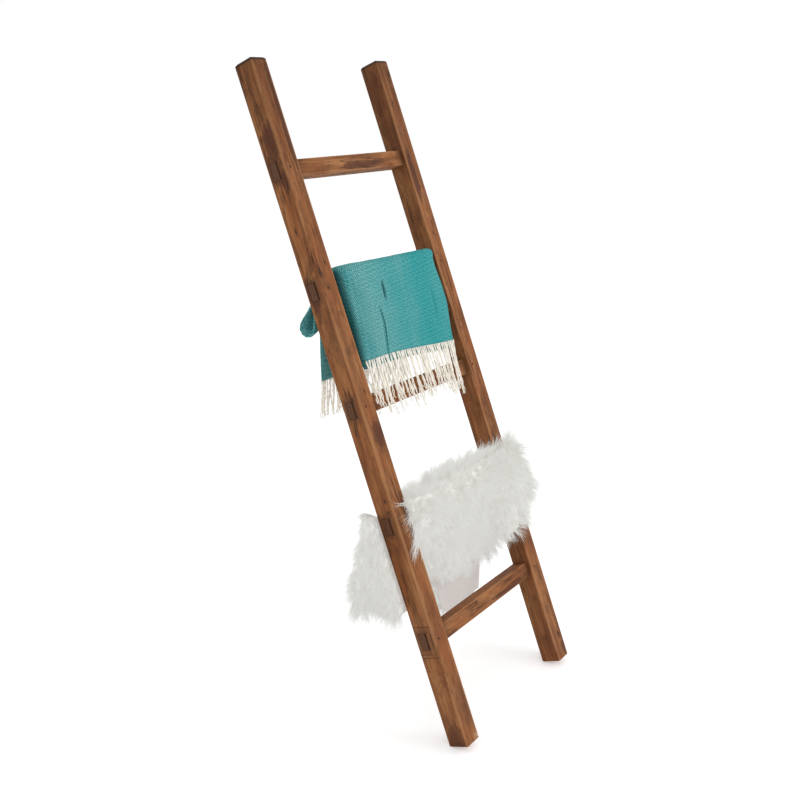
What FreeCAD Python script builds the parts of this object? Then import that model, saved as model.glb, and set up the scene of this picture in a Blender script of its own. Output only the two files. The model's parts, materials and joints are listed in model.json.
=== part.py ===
import FreeCAD, Part
import math
import os

from FreeCAD import Vector

# A leaning blanket ladder of old timber, dressed with a folded throw and a sheepskin.
# Millimetres. X runs along the rungs, Y away from the viewer to the wall, Z up.
# The origin is on the floor, under the middle of the leaning ladder.
# "depth" counts from the rails' front faces to the back, "along" from their feet to the top.

# ---- Ladder: driving dimensions ----
rail_length = 1750.0
rail_width = 52.0
rail_depth = 58.0
overall_width = 540.0
lean_angle = 21.5
top_bevel = 5.0
foot_bevel = 2.5
outer_arris_bevel = 4.0
arris_radius = 2.5

rung_names = ["bottom_rung", "fourth_rung", "third_rung", "second_rung", "top_rung"]
lowest_rung_height = 280.0
rung_pitch = 300.0
rung_height = 42.0
rung_depth = 42.0
rung_recess = 12.0

# ---- Joints ----
tenon_thickness = 20.0
tenon_shoulder = 14.0
wedge_thick_end = 4.0
wedge_thin_end = 1.5
wedge_recess = 2.5
wedge_length = 42.0
pin_radius = 3.0
pin_length = 42.0
pin_inset = 18.0
pin_clearance = 0.2
patch_width = 14.0
patch_length = 56.0
patch_depth = 10.0
patch_margin = 3.0

# ---- Throw: a stack of folded cloth laid three times over its rung ----
throw_side_room = 6.0
throw_stack = 9.0
throw_gap = 0.5
cloth_clearance = 0.4
throw_front_drop = 246.0
throw_hem_setback = 5.0
throw_right_taper = 40.0
throw_inner_drop = 116.0
throw_knee_gap = 10.0
throw_knee_radius = 96.0
throw_loop_drop = 132.0
throw_loop_spread = 12.0
throw_loop_reach = 36.0
throw_loop_rise = 80.0
loop_roundness = 0.45
throw_rear_drop = 256.0

strand_length = 110.0
strand_root_radius = 2.2
strand_tip_radius = 1.1
strand_sides = 6
front_strand_count = 26
rear_strand_count = 26
strand_margin = 5.0

# ---- Sheepskin ----
hide_thickness = 4.0
pile_thickness = 42.0
pile_overhang = 16.0
fleece_side_reach = 54.0
hide_side_room = 6.0
leg_clearance = 0.8
# How far the skin's front and rear hang below the fourth rung's top, at each share of the half width.
hide_stations = [
    (-1.0, 150.0, 300.0),
    (-0.71, 205.0, 300.0),
    (-0.24, 245.0, 262.0),
    (0.24, 260.0, 400.0),
    (0.66, 235.0, 412.0),
    (0.967, 175.0, 340.0),
]
# The leg in front of the right rail: its edges above and below the fourth rung's middle.
leg_start_along = 62.0
leg_tip_top = 20.0
leg_tip_drop = 110.0
# The flap behind the left rail: its edges below the fourth rung's top, and its curl seen from above.
flap_top_drop = 34.0
flap_tip_top = 4.0
flap_tip_drop = 250.0
flap_flare = 60.0
flap_return = 8.0
flap_bend_start = 12.0
flap_bend_radius = 50.0
flap_curl_radius = 18.0

# ---- Worked out ----
half_width = overall_width / 2
clear_half = half_width - rail_width
throw_width = 2 * (clear_half - throw_side_room)
hide_half_width = clear_half - hide_side_room
fleece_reach = half_width + fleece_side_reach
lean = math.radians(lean_angle)
rise = math.cos(lean)
run = math.sin(lean)
tenon_front = rung_recess + tenon_shoulder
tenon_back = tenon_front + tenon_thickness
rung_back = rung_recess + rung_depth
rail_front_reach = foot_bevel * run
rail_back_reach = rail_depth * rise + (rail_length - top_bevel) * run
middle_y = (rail_front_reach + rail_back_reach) / 2
floor_drop = (rail_depth - foot_bevel) * run
cloth_room = 4 * throw_stack
margin = 1.0
tolerance = 1e-6


def leaned(depth, along):
    """Y and Z of a point of the leaning ladder."""
    y = depth * rise + along * run - middle_y
    z = along * rise - depth * run + floor_drop
    return y, z


def stand(shape):
    """Lean an upright shape back and set it on the floor."""
    shape.rotate(Vector(0, 0, 0), Vector(1, 0, 0), -lean_angle)
    shape.translate(Vector(0, -middle_y, floor_drop))
    return shape


def rung_height_of(name):
    return lowest_rung_height + rung_names.index(name) * rung_pitch


def box_between(x0, x1, depth0, depth1, along0, along1):
    low = Vector(min(x0, x1), depth0, along0)
    return Part.makeBox(abs(x1 - x0), depth1 - depth0, along1 - along0, low)


def save(name, shape):
    if not shape.isValid():
        raise RuntimeError(name + " is not a valid shape")
    shape.exportStep("parts/" + name + ".step")
    print(name, len(shape.Solids), "solids", round(shape.Volume / 1000.0, 1), "cm3")


# ---- Timber ----

def end_edges(shape, along):
    return [e for e in shape.Edges if all(abs(v.Point.z - along) < tolerance for v in e.Vertexes)]


def long_edge(shape, x, depth):
    """The edge that runs the rail's length at this corner of its section."""
    found = []
    for edge in shape.Edges:
        points = [v.Point for v in edge.Vertexes]
        on_line = all(math.hypot(p.x - x, p.y - depth) < tolerance for p in points)
        if len(points) == 2 and on_line:
            found.append(edge)
    return found


def mortise(side, along):
    """A through mortise whose front wall slopes, wider at the outer face for the wedge."""
    slope = (wedge_thick_end - wedge_thin_end) / wedge_length
    outer = half_width + margin
    inner = clear_half - margin
    front_outer = tenon_front - wedge_thick_end - slope * margin
    front_inner = front_outer + slope * (outer - inner)
    corners = [
        Vector(side * outer, front_outer, 0),
        Vector(side * inner, front_inner, 0),
        Vector(side * inner, tenon_back, 0),
        Vector(side * outer, tenon_back, 0),
    ]
    face = Part.Face(Part.makePolygon(corners + corners[:1]))
    block = face.extrude(Vector(0, 0, rung_height))
    block.translate(Vector(0, 0, along - rung_height / 2))
    return block


def wedge(side, along):
    """A tapered slip between the tenon's front cheek and the sloping mortise wall."""
    slope = (wedge_thick_end - wedge_thin_end) / wedge_length
    outer = half_width - wedge_recess
    inner = outer - wedge_length
    corners = [
        Vector(side * outer, tenon_front - wedge_thick_end + slope * wedge_recess, 0),
        Vector(side * inner, tenon_front - wedge_thin_end + slope * wedge_recess, 0),
        Vector(side * inner, tenon_front, 0),
        Vector(side * outer, tenon_front, 0),
    ]
    face = Part.Face(Part.makePolygon(corners + corners[:1]))
    block = face.extrude(Vector(0, 0, rung_height))
    block.translate(Vector(0, 0, along - rung_height / 2))
    return block


def pin_x(side):
    """Both rows of pins stand the same distance in from their rail's left side."""
    left_side = -half_width if side < 0 else clear_half
    return left_side + pin_inset


def pin_hole(side, along):
    start = Vector(pin_x(side), -margin, along)
    depth = margin + pin_length + pin_clearance
    return Part.makeCylinder(pin_radius + pin_clearance, depth, start, Vector(0, 1, 0))


def joint_pin(side, along):
    start = Vector(pin_x(side), 0, along)
    return Part.makeCylinder(pin_radius, pin_length, start, Vector(0, 1, 0))


def patch_block(side):
    """The let-in block beside the lowest tenon, in front of its wedge slot."""
    back = tenon_front - wedge_thick_end - patch_margin
    front = back - patch_width
    high = lowest_rung_height + rung_height / 2
    low = high - patch_length
    inner = half_width - patch_depth
    return box_between(side * inner, side * half_width, front, back, low, high)


def rail(side):
    body = box_between(side * clear_half, side * half_width, 0, rail_depth, 0, rail_length)
    body = body.makeChamfer(top_bevel, end_edges(body, rail_length))
    body = body.makeChamfer(foot_bevel, end_edges(body, 0))
    body = body.makeChamfer(outer_arris_bevel, long_edge(body, side * half_width, 0))
    soft = long_edge(body, side * clear_half, 0)
    soft += long_edge(body, side * clear_half, rail_depth) + long_edge(body, side * half_width, rail_depth)
    body = body.makeFillet(arris_radius, soft)
    for name in rung_names:
        along = rung_height_of(name)
        body = body.cut(mortise(side, along))
        body = body.cut(pin_hole(side, along))
    if side < 0:
        body = body.cut(patch_block(side))
    return body


def rung(along):
    """A squared rung whose thinner tenons pass right through both rails."""
    low = along - rung_height / 2
    high = along + rung_height / 2
    body = box_between(-clear_half, clear_half, rung_recess, rung_back, low, high)
    long_edges = [e for e in body.Edges if e.Length > 2 * clear_half - margin]
    body = body.makeFillet(arris_radius, long_edges)
    tenons = box_between(-half_width, half_width, tenon_front, tenon_back, low, high)
    body = body.fuse(tenons).removeSplitter()
    for side in (-1, 1):
        body = body.cut(pin_hole(side, along))
    return body


def wedge_set(side):
    """One rail's wedges, each pierced by its pin."""
    pieces = []
    for name in rung_names:
        along = rung_height_of(name)
        pieces.append(wedge(side, along).cut(pin_hole(side, along)))
    return Part.makeCompound(pieces)


def pin_set(side):
    return Part.makeCompound([joint_pin(side, rung_height_of(name)) for name in rung_names])


# ---- Soft goods: bands of even thickness that follow a route over a rung ----

class Route:
    """Straight runs joined by arcs through (y, z, radius) points, drawn at any offset to the left."""

    def __init__(self, points):
        self.points = points

    def direction(self, index):
        y0, z0, _ = self.points[index]
        y1, z1, _ = self.points[index + 1]
        length = math.hypot(y1 - y0, z1 - z0)
        return (y1 - y0) / length, (z1 - z0) / length

    def edges(self, x, offset):
        """The route's edges in the plane at x, moved sideways by offset."""
        out = []
        dy, dz = self.direction(0)
        y, z, _ = self.points[0]
        here = Vector(x, y - dz * offset, z + dy * offset)
        for index in range(1, len(self.points) - 1):
            ay, az = self.direction(index - 1)
            by, bz = self.direction(index)
            turn = math.atan2(ay * bz - az * by, ay * by + az * bz)
            sign = 1.0 if turn > 0 else -1.0
            py, pz, radius = self.points[index]
            back = radius * math.tan(abs(turn) / 2)
            cy = py - ay * back - az * radius * sign
            cz = pz - az * back + ay * radius * sign
            reach = radius - offset * sign
            my, mz = -(az + bz), ay + by
            size = math.hypot(my, mz)
            start = Vector(x, cy + az * reach * sign, cz - ay * reach * sign)
            middle = Vector(x, cy - my / size * reach * sign, cz - mz / size * reach * sign)
            end = Vector(x, cy + bz * reach * sign, cz - by * reach * sign)
            out.append(Part.LineSegment(here, start).toShape())
            out.append(Part.Arc(start, middle, end).toShape())
            here = end
        y, z, _ = self.points[-1]
        dy, dz = self.direction(len(self.points) - 2)
        out.append(Part.LineSegment(here, Vector(x, y - dz * offset, z + dy * offset)).toShape())
        return out

    def length(self):
        return sum(edge.Length for edge in self.edges(0.0, 0.0))

    def section(self, x, inner, outer):
        """The closed outline of a band between two offsets."""
        near = self.edges(x, inner)
        far = self.edges(x, outer)
        first_cap = Part.LineSegment(far[0].Vertexes[0].Point, near[0].Vertexes[0].Point).toShape()
        last_cap = Part.LineSegment(near[-1].Vertexes[-1].Point, far[-1].Vertexes[-1].Point).toShape()
        return Part.Wire(near + [last_cap] + list(reversed(far)) + [first_cap])


def over_rung(along, offset):
    """The front-top and back-top corner points of a route that passes over a rung at this offset."""
    radius = offset + arris_radius
    top = along + rung_height / 2 + offset
    front_y, front_z = leaned(rung_recess - offset, top)
    centre_y, centre_z = leaned(rung_back - arris_radius, along + rung_height / 2 - arris_radius)
    travel = radius * (1 - run) / rise
    back_y = centre_y + radius
    back_z = centre_z + radius * rise - travel * run
    return (front_y, front_z, radius), (back_y, back_z, radius)


def point(depth, along, radius=0.0):
    y, z = leaned(depth, along)
    return y, z, radius


def throw_offsets():
    """How far from the rung the middles of the inner, middle and outer passes lie."""
    layer = throw_stack + throw_gap
    inner = cloth_clearance + throw_stack / 2
    return inner, inner + layer, inner + 2 * layer


def throw_loop():
    """The rear loop between the outer and the middle pass, from one rung corner to the other."""
    along = rung_height_of("second_rung")
    _, middle, outer = throw_offsets()
    outer_back = over_rung(along, outer)[1]
    middle_back = over_rung(along, middle)[1]
    loop_z = outer_back[1] - throw_loop_drop
    loop_y = outer_back[0] + throw_loop_spread
    radius = loop_roundness * (loop_y - middle_back[0])
    return [outer_back, (loop_y, loop_z, radius), (middle_back[0], loop_z, radius), middle_back]


def throw_route():
    """Front hem, over the rung, a hanging loop, back over, a hidden turn, over again, rear hem."""
    along = rung_height_of("second_rung")
    top = along + rung_height / 2
    inner, middle, outer = throw_offsets()
    outer_front = over_rung(along, outer)[0]
    middle_front = over_rung(along, middle)[0]
    inner_front, inner_back = over_rung(along, inner)
    turn_radius = (middle - inner) / 2 - throw_gap / 4
    turn_along = top - throw_inner_drop
    knee_along = turn_along - throw_stack - throw_knee_gap
    front = [
        point(throw_hem_setback, top - throw_front_drop),
        point(rung_recess - outer, knee_along, throw_knee_radius),
        outer_front,
    ]
    under = [
        middle_front,
        point(rung_recess - middle, turn_along, turn_radius),
        point(rung_recess - inner, turn_along, turn_radius),
        inner_front,
        inner_back,
        (inner_back[0], inner_back[1] - throw_rear_drop, 0.0),
    ]
    return Route(front + throw_loop() + under)


def throw_loop_end():
    """The rear loop's left end, which reaches out behind the left rail."""
    reach = throw_width / 2 + throw_loop_reach
    face = Part.Face(Route(throw_loop()).section(-reach, -throw_stack / 2, throw_stack / 2))
    end = face.extrude(Vector(throw_loop_reach, 0, 0))
    back = rail_depth + cloth_clearance
    rail_room = box_between(-reach - margin, -throw_width / 2, -cloth_room, back, 0, rail_length)
    end = end.cut(stand(rail_room))
    size = throw_loop_reach + 2 * margin
    high = throw_loop()[1][1] + throw_loop_rise
    corner = Vector(-reach - margin, -rail_length / 2, high)
    return end.cut(Part.makeBox(size, rail_length, throw_loop_drop, corner))


def throw():
    """The folded stack, with its front panel narrowing to the right of the hem."""
    route = throw_route()
    face = Part.Face(route.section(-throw_width / 2, -throw_stack / 2, throw_stack / 2))
    cloth = face.extrude(Vector(throw_width, 0, 0)).fuse(throw_loop_end())
    top = rung_height_of("second_rung")
    hem = top + rung_height / 2 - throw_front_drop
    right = throw_width / 2
    corners = [
        Vector(right, -cloth_room, top),
        Vector(right + margin, -cloth_room, top),
        Vector(right + margin, -cloth_room, hem - margin),
        Vector(right - throw_right_taper, -cloth_room, hem - margin),
    ]
    depth = cloth_room + rung_recess - cloth_clearance / 2
    taper = Part.Face(Part.makePolygon(corners + corners[:1])).extrude(Vector(0, depth, 0))
    print("throw route length", round(route.length()), "mm")
    return cloth.cut(stand(taper))


def strand_ring(centre, way, radius):
    """The six-sided section of a thread, square to the way it hangs."""
    across = Vector(1, 0, 0)
    through = way.cross(across)
    corners = []
    for side in range(strand_sides):
        turn = 2 * math.pi * side / strand_sides
        corners.append(centre + across * (radius * math.cos(turn)) + through * (radius * math.sin(turn)))
    return Part.makePolygon(corners + corners[:1])


def strands(start, direction, x_from, x_to, count):
    """A row of tapering threads that hang from a hem."""
    step = (x_to - x_from) / (count - 1)
    row = []
    way = Vector(0, direction[0], direction[1])
    for index in range(count):
        root = Vector(x_from + index * step, start[0], start[1]) + way * cloth_clearance
        tip = root + way * strand_length
        rings = [strand_ring(root, way, strand_root_radius), strand_ring(tip, way, strand_tip_radius)]
        row.append(Part.makeLoft(rings, True, True))
    return Part.makeCompound(row)


def front_fringe():
    """The front threads lie down the rails' slope, in front of the third rung."""
    left = -throw_width / 2 + strand_margin
    right = throw_width / 2 - throw_right_taper - strand_margin
    return strands(throw_route().points[0], (-run, -rise), left, right, front_strand_count)


def rear_fringe():
    route = throw_route()
    down = route.direction(len(route.points) - 2)
    left = -throw_width / 2 + strand_margin
    return strands(route.points[-1], down, left, throw_width / 2 - strand_margin, rear_strand_count)


def hide_offset():
    return cloth_clearance + hide_thickness / 2


def leg_depth():
    """How far in front of the rails' faces the middle of the skin lies on the right leg."""
    return -leg_clearance - hide_thickness / 2


def hide_route(on_leg, front_drop, rear_drop, overhang):
    """Hanging plumb in front, over the fourth rung, and plumb behind it."""
    along = rung_height_of("fourth_rung")
    front, back = over_rung(along, hide_offset())
    top_z = leaned(rung_recess, along + rung_height / 2)[1]
    low_along = along - rung_height / 2
    if on_leg:
        knee = point(leg_depth(), low_along, 5 * hide_thickness)
        end = point(leg_depth(), along + rung_height / 2 - (front_drop + overhang) / rise)
    else:
        knee = point(rung_recess - hide_offset(), low_along, 5 * hide_thickness)
        end = (knee[0], top_z - front_drop - overhang, 0.0)
    tail = (back[0], top_z - rear_drop - overhang, 0.0)
    return Route([end, knee, front, back, tail])


def draped(inner, outer, overhang):
    wires = []
    for share, front_drop, rear_drop in hide_stations:
        on_leg = share == hide_stations[-1][0]
        route = hide_route(on_leg, front_drop, rear_drop, overhang)
        wires.append(route.section(share * hide_half_width, inner, outer))
    return Part.makeLoft(wires, True, True)


def slab(x0, low0, high0, x1, low1, high1, inner, outer):
    """A sheet between two straight upright sections; low and high are (y, z) of its middle."""
    wires = []
    for x, low, high in ((x0, low0, high0), (x1, low1, high1)):
        run_y, run_z = high[0] - low[0], high[1] - low[1]
        size = math.hypot(run_y, run_z)
        ny, nz = -run_z / size, run_y / size
        corners = [
            Vector(x, low[0] + ny * inner, low[1] + nz * inner),
            Vector(x, high[0] + ny * inner, high[1] + nz * inner),
            Vector(x, high[0] + ny * outer, high[1] + nz * outer),
            Vector(x, low[0] + ny * outer, low[1] + nz * outer),
        ]
        wires.append(Part.makePolygon(corners + corners[:1]))
    return Part.makeLoft(wires, True, True)


def right_leg(inner, outer, overhang, reach):
    """The leg of the skin that lies in front of the right rail."""
    along = rung_height_of("fourth_rung")
    last_share, front_drop, _ = hide_stations[-1]
    x0 = last_share * hide_half_width
    bottom = along + rung_height / 2 - (front_drop + overhang) / rise
    low0 = leaned(leg_depth(), bottom)
    high0 = leaned(leg_depth(), along + leg_start_along + overhang / 2)
    low1 = leaned(leg_depth(), along - leg_tip_drop - overhang / 2)
    high1 = leaned(leg_depth(), along + leg_tip_top + overhang / 2)
    return slab(x0, low0, high0, reach, low1, high1, inner, outer)


def upright(shape):
    """Turn what was drawn with its height along X and its reach to the left along Z."""
    shape.rotate(Vector(0, 0, 0), Vector(0, 1, 0), -90)
    return shape


def left_flap(inner, outer, overhang):
    """The flap behind the left rail, which runs out and back and then curls forward."""
    along = rung_height_of("fourth_rung")
    back_y = over_rung(along, hide_offset())[1][0]
    top_z = leaned(rung_recess, along + rung_height / 2)[1]
    inner_reach = hide_half_width
    outside = half_width + leg_clearance
    curl_y = -(flap_flare + flap_return)
    curl_out = 2 * hide_thickness
    longer = 1 + overhang / math.hypot(curl_y, curl_out)
    plan = Route([
        (back_y, inner_reach - flap_bend_radius, 0.0),
        (back_y, inner_reach + flap_bend_start, flap_bend_radius),
        (back_y + flap_flare, outside, flap_curl_radius),
        (back_y + flap_flare + curl_y * longer, outside + curl_out * longer, 0.0),
    ])
    high = top_z - flap_tip_top
    low = top_z - hide_stations[0][2] - overhang
    flap = Part.Face(plan.section(low, -outer, -inner)).extrude(Vector(high - low, 0, 0))
    far = fleece_reach + margin
    near_top = (top_z - flap_top_drop, inner_reach)
    far_top = (high, far)
    near_low = (low, inner_reach)
    far_low = (top_z - flap_tip_drop - overhang, far)
    above = [near_top, far_top, (high + margin, far), (high + margin, inner_reach)]
    below = [near_low, far_low, (low - margin, far), (low - margin, inner_reach)]
    beside = [(high + margin, 0), (high + margin, inner_reach), (low - margin, inner_reach), (low - margin, 0)]
    for outline in (above, below, beside):
        corners = [Vector(height, 0, reach) for height, reach in outline]
        depth = Vector(0, rail_depth + fleece_reach, 0)
        waste = Part.Face(Part.makePolygon(corners + corners[:1])).extrude(depth)
        waste.translate(-depth / 2)
        flap = flap.cut(waste)
    return upright(flap)


def sheepskin_layer(inner, outer, overhang, reach):
    body = draped(inner, outer, overhang)
    body = body.fuse(right_leg(inner, outer, overhang, reach))
    return body.fuse(left_flap(inner, outer, overhang))


def sheepskin_hide():
    half = hide_thickness / 2
    return sheepskin_layer(-half, half, 0.0, fleece_reach - pile_overhang)


def sheepskin_wool():
    half = hide_thickness / 2
    return sheepskin_layer(half, half + pile_thickness, pile_overhang, fleece_reach)


os.makedirs("parts", exist_ok=True)
save("left_rail", stand(rail(-1)))
save("right_rail", stand(rail(1)))
for rung_name in rung_names:
    save(rung_name, stand(rung(rung_height_of(rung_name))))
save("left_tenon_wedges", stand(wedge_set(-1)))
save("right_tenon_wedges", stand(wedge_set(1)))
save("left_joint_pins", stand(pin_set(-1)))
save("right_joint_pins", stand(pin_set(1)))
save("left_rail_patch", stand(patch_block(-1)))
save("throw", throw())
save("throw_front_fringe", front_fringe())
save("throw_rear_fringe", rear_fringe())
save("sheepskin_hide", sheepskin_hide())
save("sheepskin_wool", sheepskin_wool())
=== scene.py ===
"""Looks of a leaning blanket ladder: old timber, a folded fringed throw and a long-haired sheepskin."""

import json
import math

import bpy
import numpy as np
from bpy.props import FloatProperty, FloatVectorProperty, IntProperty, PointerProperty
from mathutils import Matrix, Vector, noise
from mathutils.kdtree import KDTree


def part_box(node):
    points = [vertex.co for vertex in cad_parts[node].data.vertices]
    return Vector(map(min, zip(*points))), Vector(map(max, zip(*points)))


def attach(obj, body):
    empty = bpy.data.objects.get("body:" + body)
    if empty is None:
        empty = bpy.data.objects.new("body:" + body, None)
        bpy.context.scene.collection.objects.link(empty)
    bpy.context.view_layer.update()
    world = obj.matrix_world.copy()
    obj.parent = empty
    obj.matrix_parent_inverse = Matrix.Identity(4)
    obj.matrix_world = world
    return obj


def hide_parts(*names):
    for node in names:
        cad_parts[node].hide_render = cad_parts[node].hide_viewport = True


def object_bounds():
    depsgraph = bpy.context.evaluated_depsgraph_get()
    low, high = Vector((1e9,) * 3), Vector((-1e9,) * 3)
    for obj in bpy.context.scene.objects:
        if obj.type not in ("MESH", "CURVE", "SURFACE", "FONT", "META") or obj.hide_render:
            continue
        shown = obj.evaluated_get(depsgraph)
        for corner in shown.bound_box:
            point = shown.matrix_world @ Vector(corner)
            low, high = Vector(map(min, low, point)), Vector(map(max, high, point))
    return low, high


bl_info = {
    "name": "Blanket Ladder",
    "version": (1, 0, 0),
    "blender": (4, 5, 0),
    "location": "View3D > Sidebar > Ladder",
    "description": "Finishes, throw, sheepskin and stage of a leaning blanket ladder",
    "category": "Object",
}

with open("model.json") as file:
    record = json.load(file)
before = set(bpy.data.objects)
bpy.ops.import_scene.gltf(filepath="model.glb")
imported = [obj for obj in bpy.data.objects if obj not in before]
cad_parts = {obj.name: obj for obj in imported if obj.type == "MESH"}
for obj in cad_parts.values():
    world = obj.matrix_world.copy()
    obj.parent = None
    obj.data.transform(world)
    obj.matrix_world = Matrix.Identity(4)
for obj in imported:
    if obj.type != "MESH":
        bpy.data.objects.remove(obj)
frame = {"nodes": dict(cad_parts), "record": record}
nodes = frame["nodes"]
model_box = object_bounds()

MM = 0.001

# The ladder's own directions: up along the rails, and from their front faces to their backs.
MOUNTS = {mount["name"]: mount for mount in frame["record"]["mounts"]}
ALONG = -Vector(MOUNTS["left_foot"]["axis"])
DEPTH = Vector((0.0, ALONG.z, -ALONG.y))
DOWN = np.array([0.0, 0.0, -1.0])


def span(node, axis):
    """How far a node reaches along an axis."""
    places = [vertex.co.dot(axis) for vertex in nodes[node].data.vertices]
    return min(places), max(places)


FRONT, BACK = span("left_rail", DEPTH)
FOOT, TOP = span("left_rail", ALONG)
RAIL_DEPTH = BACK - FRONT
RAIL_LENGTH = TOP - FOOT
CLEAR_HALF, HALF_WIDTH = (corner.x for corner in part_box("right_rail"))
RUNGS = ("bottom_rung", "fourth_rung", "third_rung", "second_rung", "top_rung")


def rung_middle(name):
    """The height of a rung's middle along the rails."""
    low, high = span(name, ALONG)
    return (low + high) / 2 - FOOT


FIRST_RUNG = rung_middle("bottom_rung")
RUNG_PITCH = rung_middle("fourth_rung") - FIRST_RUNG
RUNG_HALF = float(np.ptp(span("top_rung", ALONG))) / 2
RUNG_FRONT, RUNG_BACK = (place - FRONT for place in span("top_rung", DEPTH))
RUNG_ARRIS = 2.5 * MM

# The tenon ends on the rails' outer faces: the middle and half thickness from front to back.
TENON_MIDDLE = 34 * MM
TENON_HALF = 12 * MM

# Level and square to the photographer's view.
BESIDE_VIEW = Vector((-0.585, 0.811, 0.0))


def leaned(depth, along):
    """Y and Z of a point of the leaning ladder."""
    point = DEPTH * (FRONT + depth) + ALONG * (FOOT + along)
    return point.y, point.z


def smooth(value, low, high):
    """0 below low, 1 above high and a soft step between, on numbers or arrays."""
    share = np.clip((np.asarray(value, float) - low) / (high - low), 0.0, 1.0)
    return share * share * (3.0 - 2.0 * share)


def bell(off, width):
    """1 where off is 0, and fading to both sides."""
    return np.exp(-(off / width) ** 2)


def unit(vectors):
    """The same directions at length 1."""
    return vectors / np.maximum(np.linalg.norm(vectors, axis=-1, keepdims=True), 1e-9)


def sheet_noise(first, second, size, seed=0.0):
    """Soft noise from -1 to 1 over a sheet, with bumps of about this size."""
    flat = zip(np.ravel(first), np.ravel(second))
    values = [noise.noise(Vector((a / size, b / size, seed))) for a, b in flat]
    return np.array(values).reshape(np.shape(first))


# ---- Shader maths ----


class Link:
    """A value inside a material. Arithmetic on it adds Math nodes."""

    def __init__(self, paint, socket):
        self.paint = paint
        self.socket = socket

    def math(self, operation, *others):
        return self.paint.node("Math", {"operation": operation}, dict(enumerate((self, *others))))

    def __add__(self, other):
        return self.math("ADD", other)

    def __sub__(self, other):
        return self.math("SUBTRACT", other)

    def __rsub__(self, other):
        return self.paint.node("Math", {"operation": "SUBTRACT"}, {0: other, 1: self})

    def __mul__(self, other):
        return self.math("MULTIPLY", other)

    def __truediv__(self, other):
        return self.math("DIVIDE", other)

    def __abs__(self):
        return self.math("ABSOLUTE")

    __radd__ = __add__
    __rmul__ = __mul__

    def sine(self):
        return self.math("SINE")

    def root(self):
        return self.math("SQRT")

    def highest(self, other):
        return self.math("MAXIMUM", other)

    def wrapped(self, low, high):
        return self.math("WRAP", high, low)

    def step(self, low, high):
        """A soft step from 0 at low to 1 at high, or falling where low is above high."""
        if low > high:
            return 1.0 - self.step(high, low)
        settings = {"interpolation_type": "SMOOTHSTEP"}
        return self.paint.node("MapRange", settings, {0: self, 1: low, 2: high, 3: 0.0, 4: 1.0})

    def coat(self, share, colour, blend="MIX"):
        """This colour with a share of another over it."""
        return self.paint.mix(share, self, colour, blend)


class Paint:
    """A material or a world under construction."""

    def __init__(self, name, kind="Material"):
        self.target = getattr(bpy.data, kind.lower() + "s").new(name)
        self.target.use_nodes = True
        self.tree = self.target.node_tree
        self.tree.nodes.clear()
        self.output = self.tree.nodes.new("ShaderNodeOutput" + kind)

    def feed(self, socket, value):
        if isinstance(value, Link):
            self.tree.links.new(value.socket, socket)
        elif socket.type == "RGBA":
            socket.default_value = (*value[:3], 1.0)
        else:
            socket.default_value = value

    def node(self, kind, settings=None, inputs=None, output=0):
        """Add a node: its settings first, then the values or links of its sockets."""
        made = self.tree.nodes.new("ShaderNode" + kind)
        for key, value in (settings or {}).items():
            setattr(made, key, value)
        for key, value in (inputs or {}).items():
            self.feed(made.inputs[key], value)
        return Link(self, made.outputs[output])

    def parts(self, output, axes=(0, 1, 2)):
        """Parts of a coordinate: Object, the piece's own UV, or the Normal that the surface faces."""
        whole = self.node("TexCoord", output=output)
        return [self.node("SeparateXYZ", None, {0: whole}, axis) for axis in axes]

    def noise(self, place, detail=2.0, roughness=0.5, distortion=0.0):
        """Noise over three values, with features of about 1."""
        inputs = {
            "Vector": self.node("CombineXYZ", None, dict(enumerate(place))),
            "Scale": 1.0,
            "Detail": detail,
            "Roughness": roughness,
            "Distortion": distortion,
        }
        return self.node("TexNoise", None, inputs)

    def mix(self, share, first, second, blend="MIX"):
        settings = {"data_type": "RGBA", "blend_type": blend}
        return self.node("Mix", settings, {0: share, 6: first, 7: second}, 2)

    def bump(self, height, strength, distance):
        return self.node("Bump", None, {"Height": height, "Strength": strength, "Distance": distance})

    def surface(self, **values):
        """End in one Principled shader whose sockets take these values."""
        inputs = {key.replace("_", " "): value for key, value in values.items()}
        return self.end(self.node("BsdfPrincipled", None, inputs))

    def end(self, shader):
        self.tree.links.new(shader.socket, self.output.inputs["Surface"])
        return self.target


def dress(piece, material):
    """Give the whole piece one finish."""
    if piece.material_slots:
        for place in piece.material_slots:
            place.material = material
    else:
        piece.data.materials.append(material)


# ---- Timber ----

# Marks that show: their middle across the surface and along it, and their half sizes, in millimetres.
# A rail's mark names its surface first. A rung's is placed by X and by the height from the rung's middle.
KNOTS = {
    "left_rail": (
        ("flank", 18, 644, 9, 20),
        ("flank", 20, 905, 8, 18),
        ("flank", 20, 615, 7, 14),
        ("flank", 30, 1330, 10, 26),
        ("face", -238, 1240, 7, 16),
    ),
    "right_rail": (
        ("flank", 24, 700, 9, 22),
        ("face", 246, 1392, 5, 10),
        ("face", 240, 1260, 6, 12),
        ("face", 250, 70, 12, 26),
    ),
    "third_rung": ((150, -4, 30, 10),),
}
STAINS = {
    "left_rail": (
        ("flank", 20, 1546, 20, 52),
        ("flank", 10, 1452, 11, 30),
        ("flank", 32, 16, 24, 44),
        ("flank", 40, 1170, 12, 50),
        ("face", -227, 1585, 8, 150),
        ("face", -240, 800, 16, 36),
        ("face", -226, 610, 10, 46),
    ),
    "right_rail": (
        ("face", 262, 30, 12, 24),
        ("face", 232, 1420, 12, 60),
        ("face", 236, 540, 14, 60),
    ),
    "top_rung": ((58, -7, 84, 9),),
    "bottom_rung": ((112, -13, 84, 8),),
}
SCRIBE_LINES = (318 * MM, 246 * MM, 237 * MM)

# Which figure each board is given.
RAIL_SEEDS = {"left_rail": 3.7, "right_rail": 11.3}
RUNG_SEEDS = {name: 5.1 * place + 1.9 for place, name in enumerate(RUNGS)}
SMALL_TIMBER_SEED = 7.7


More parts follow.
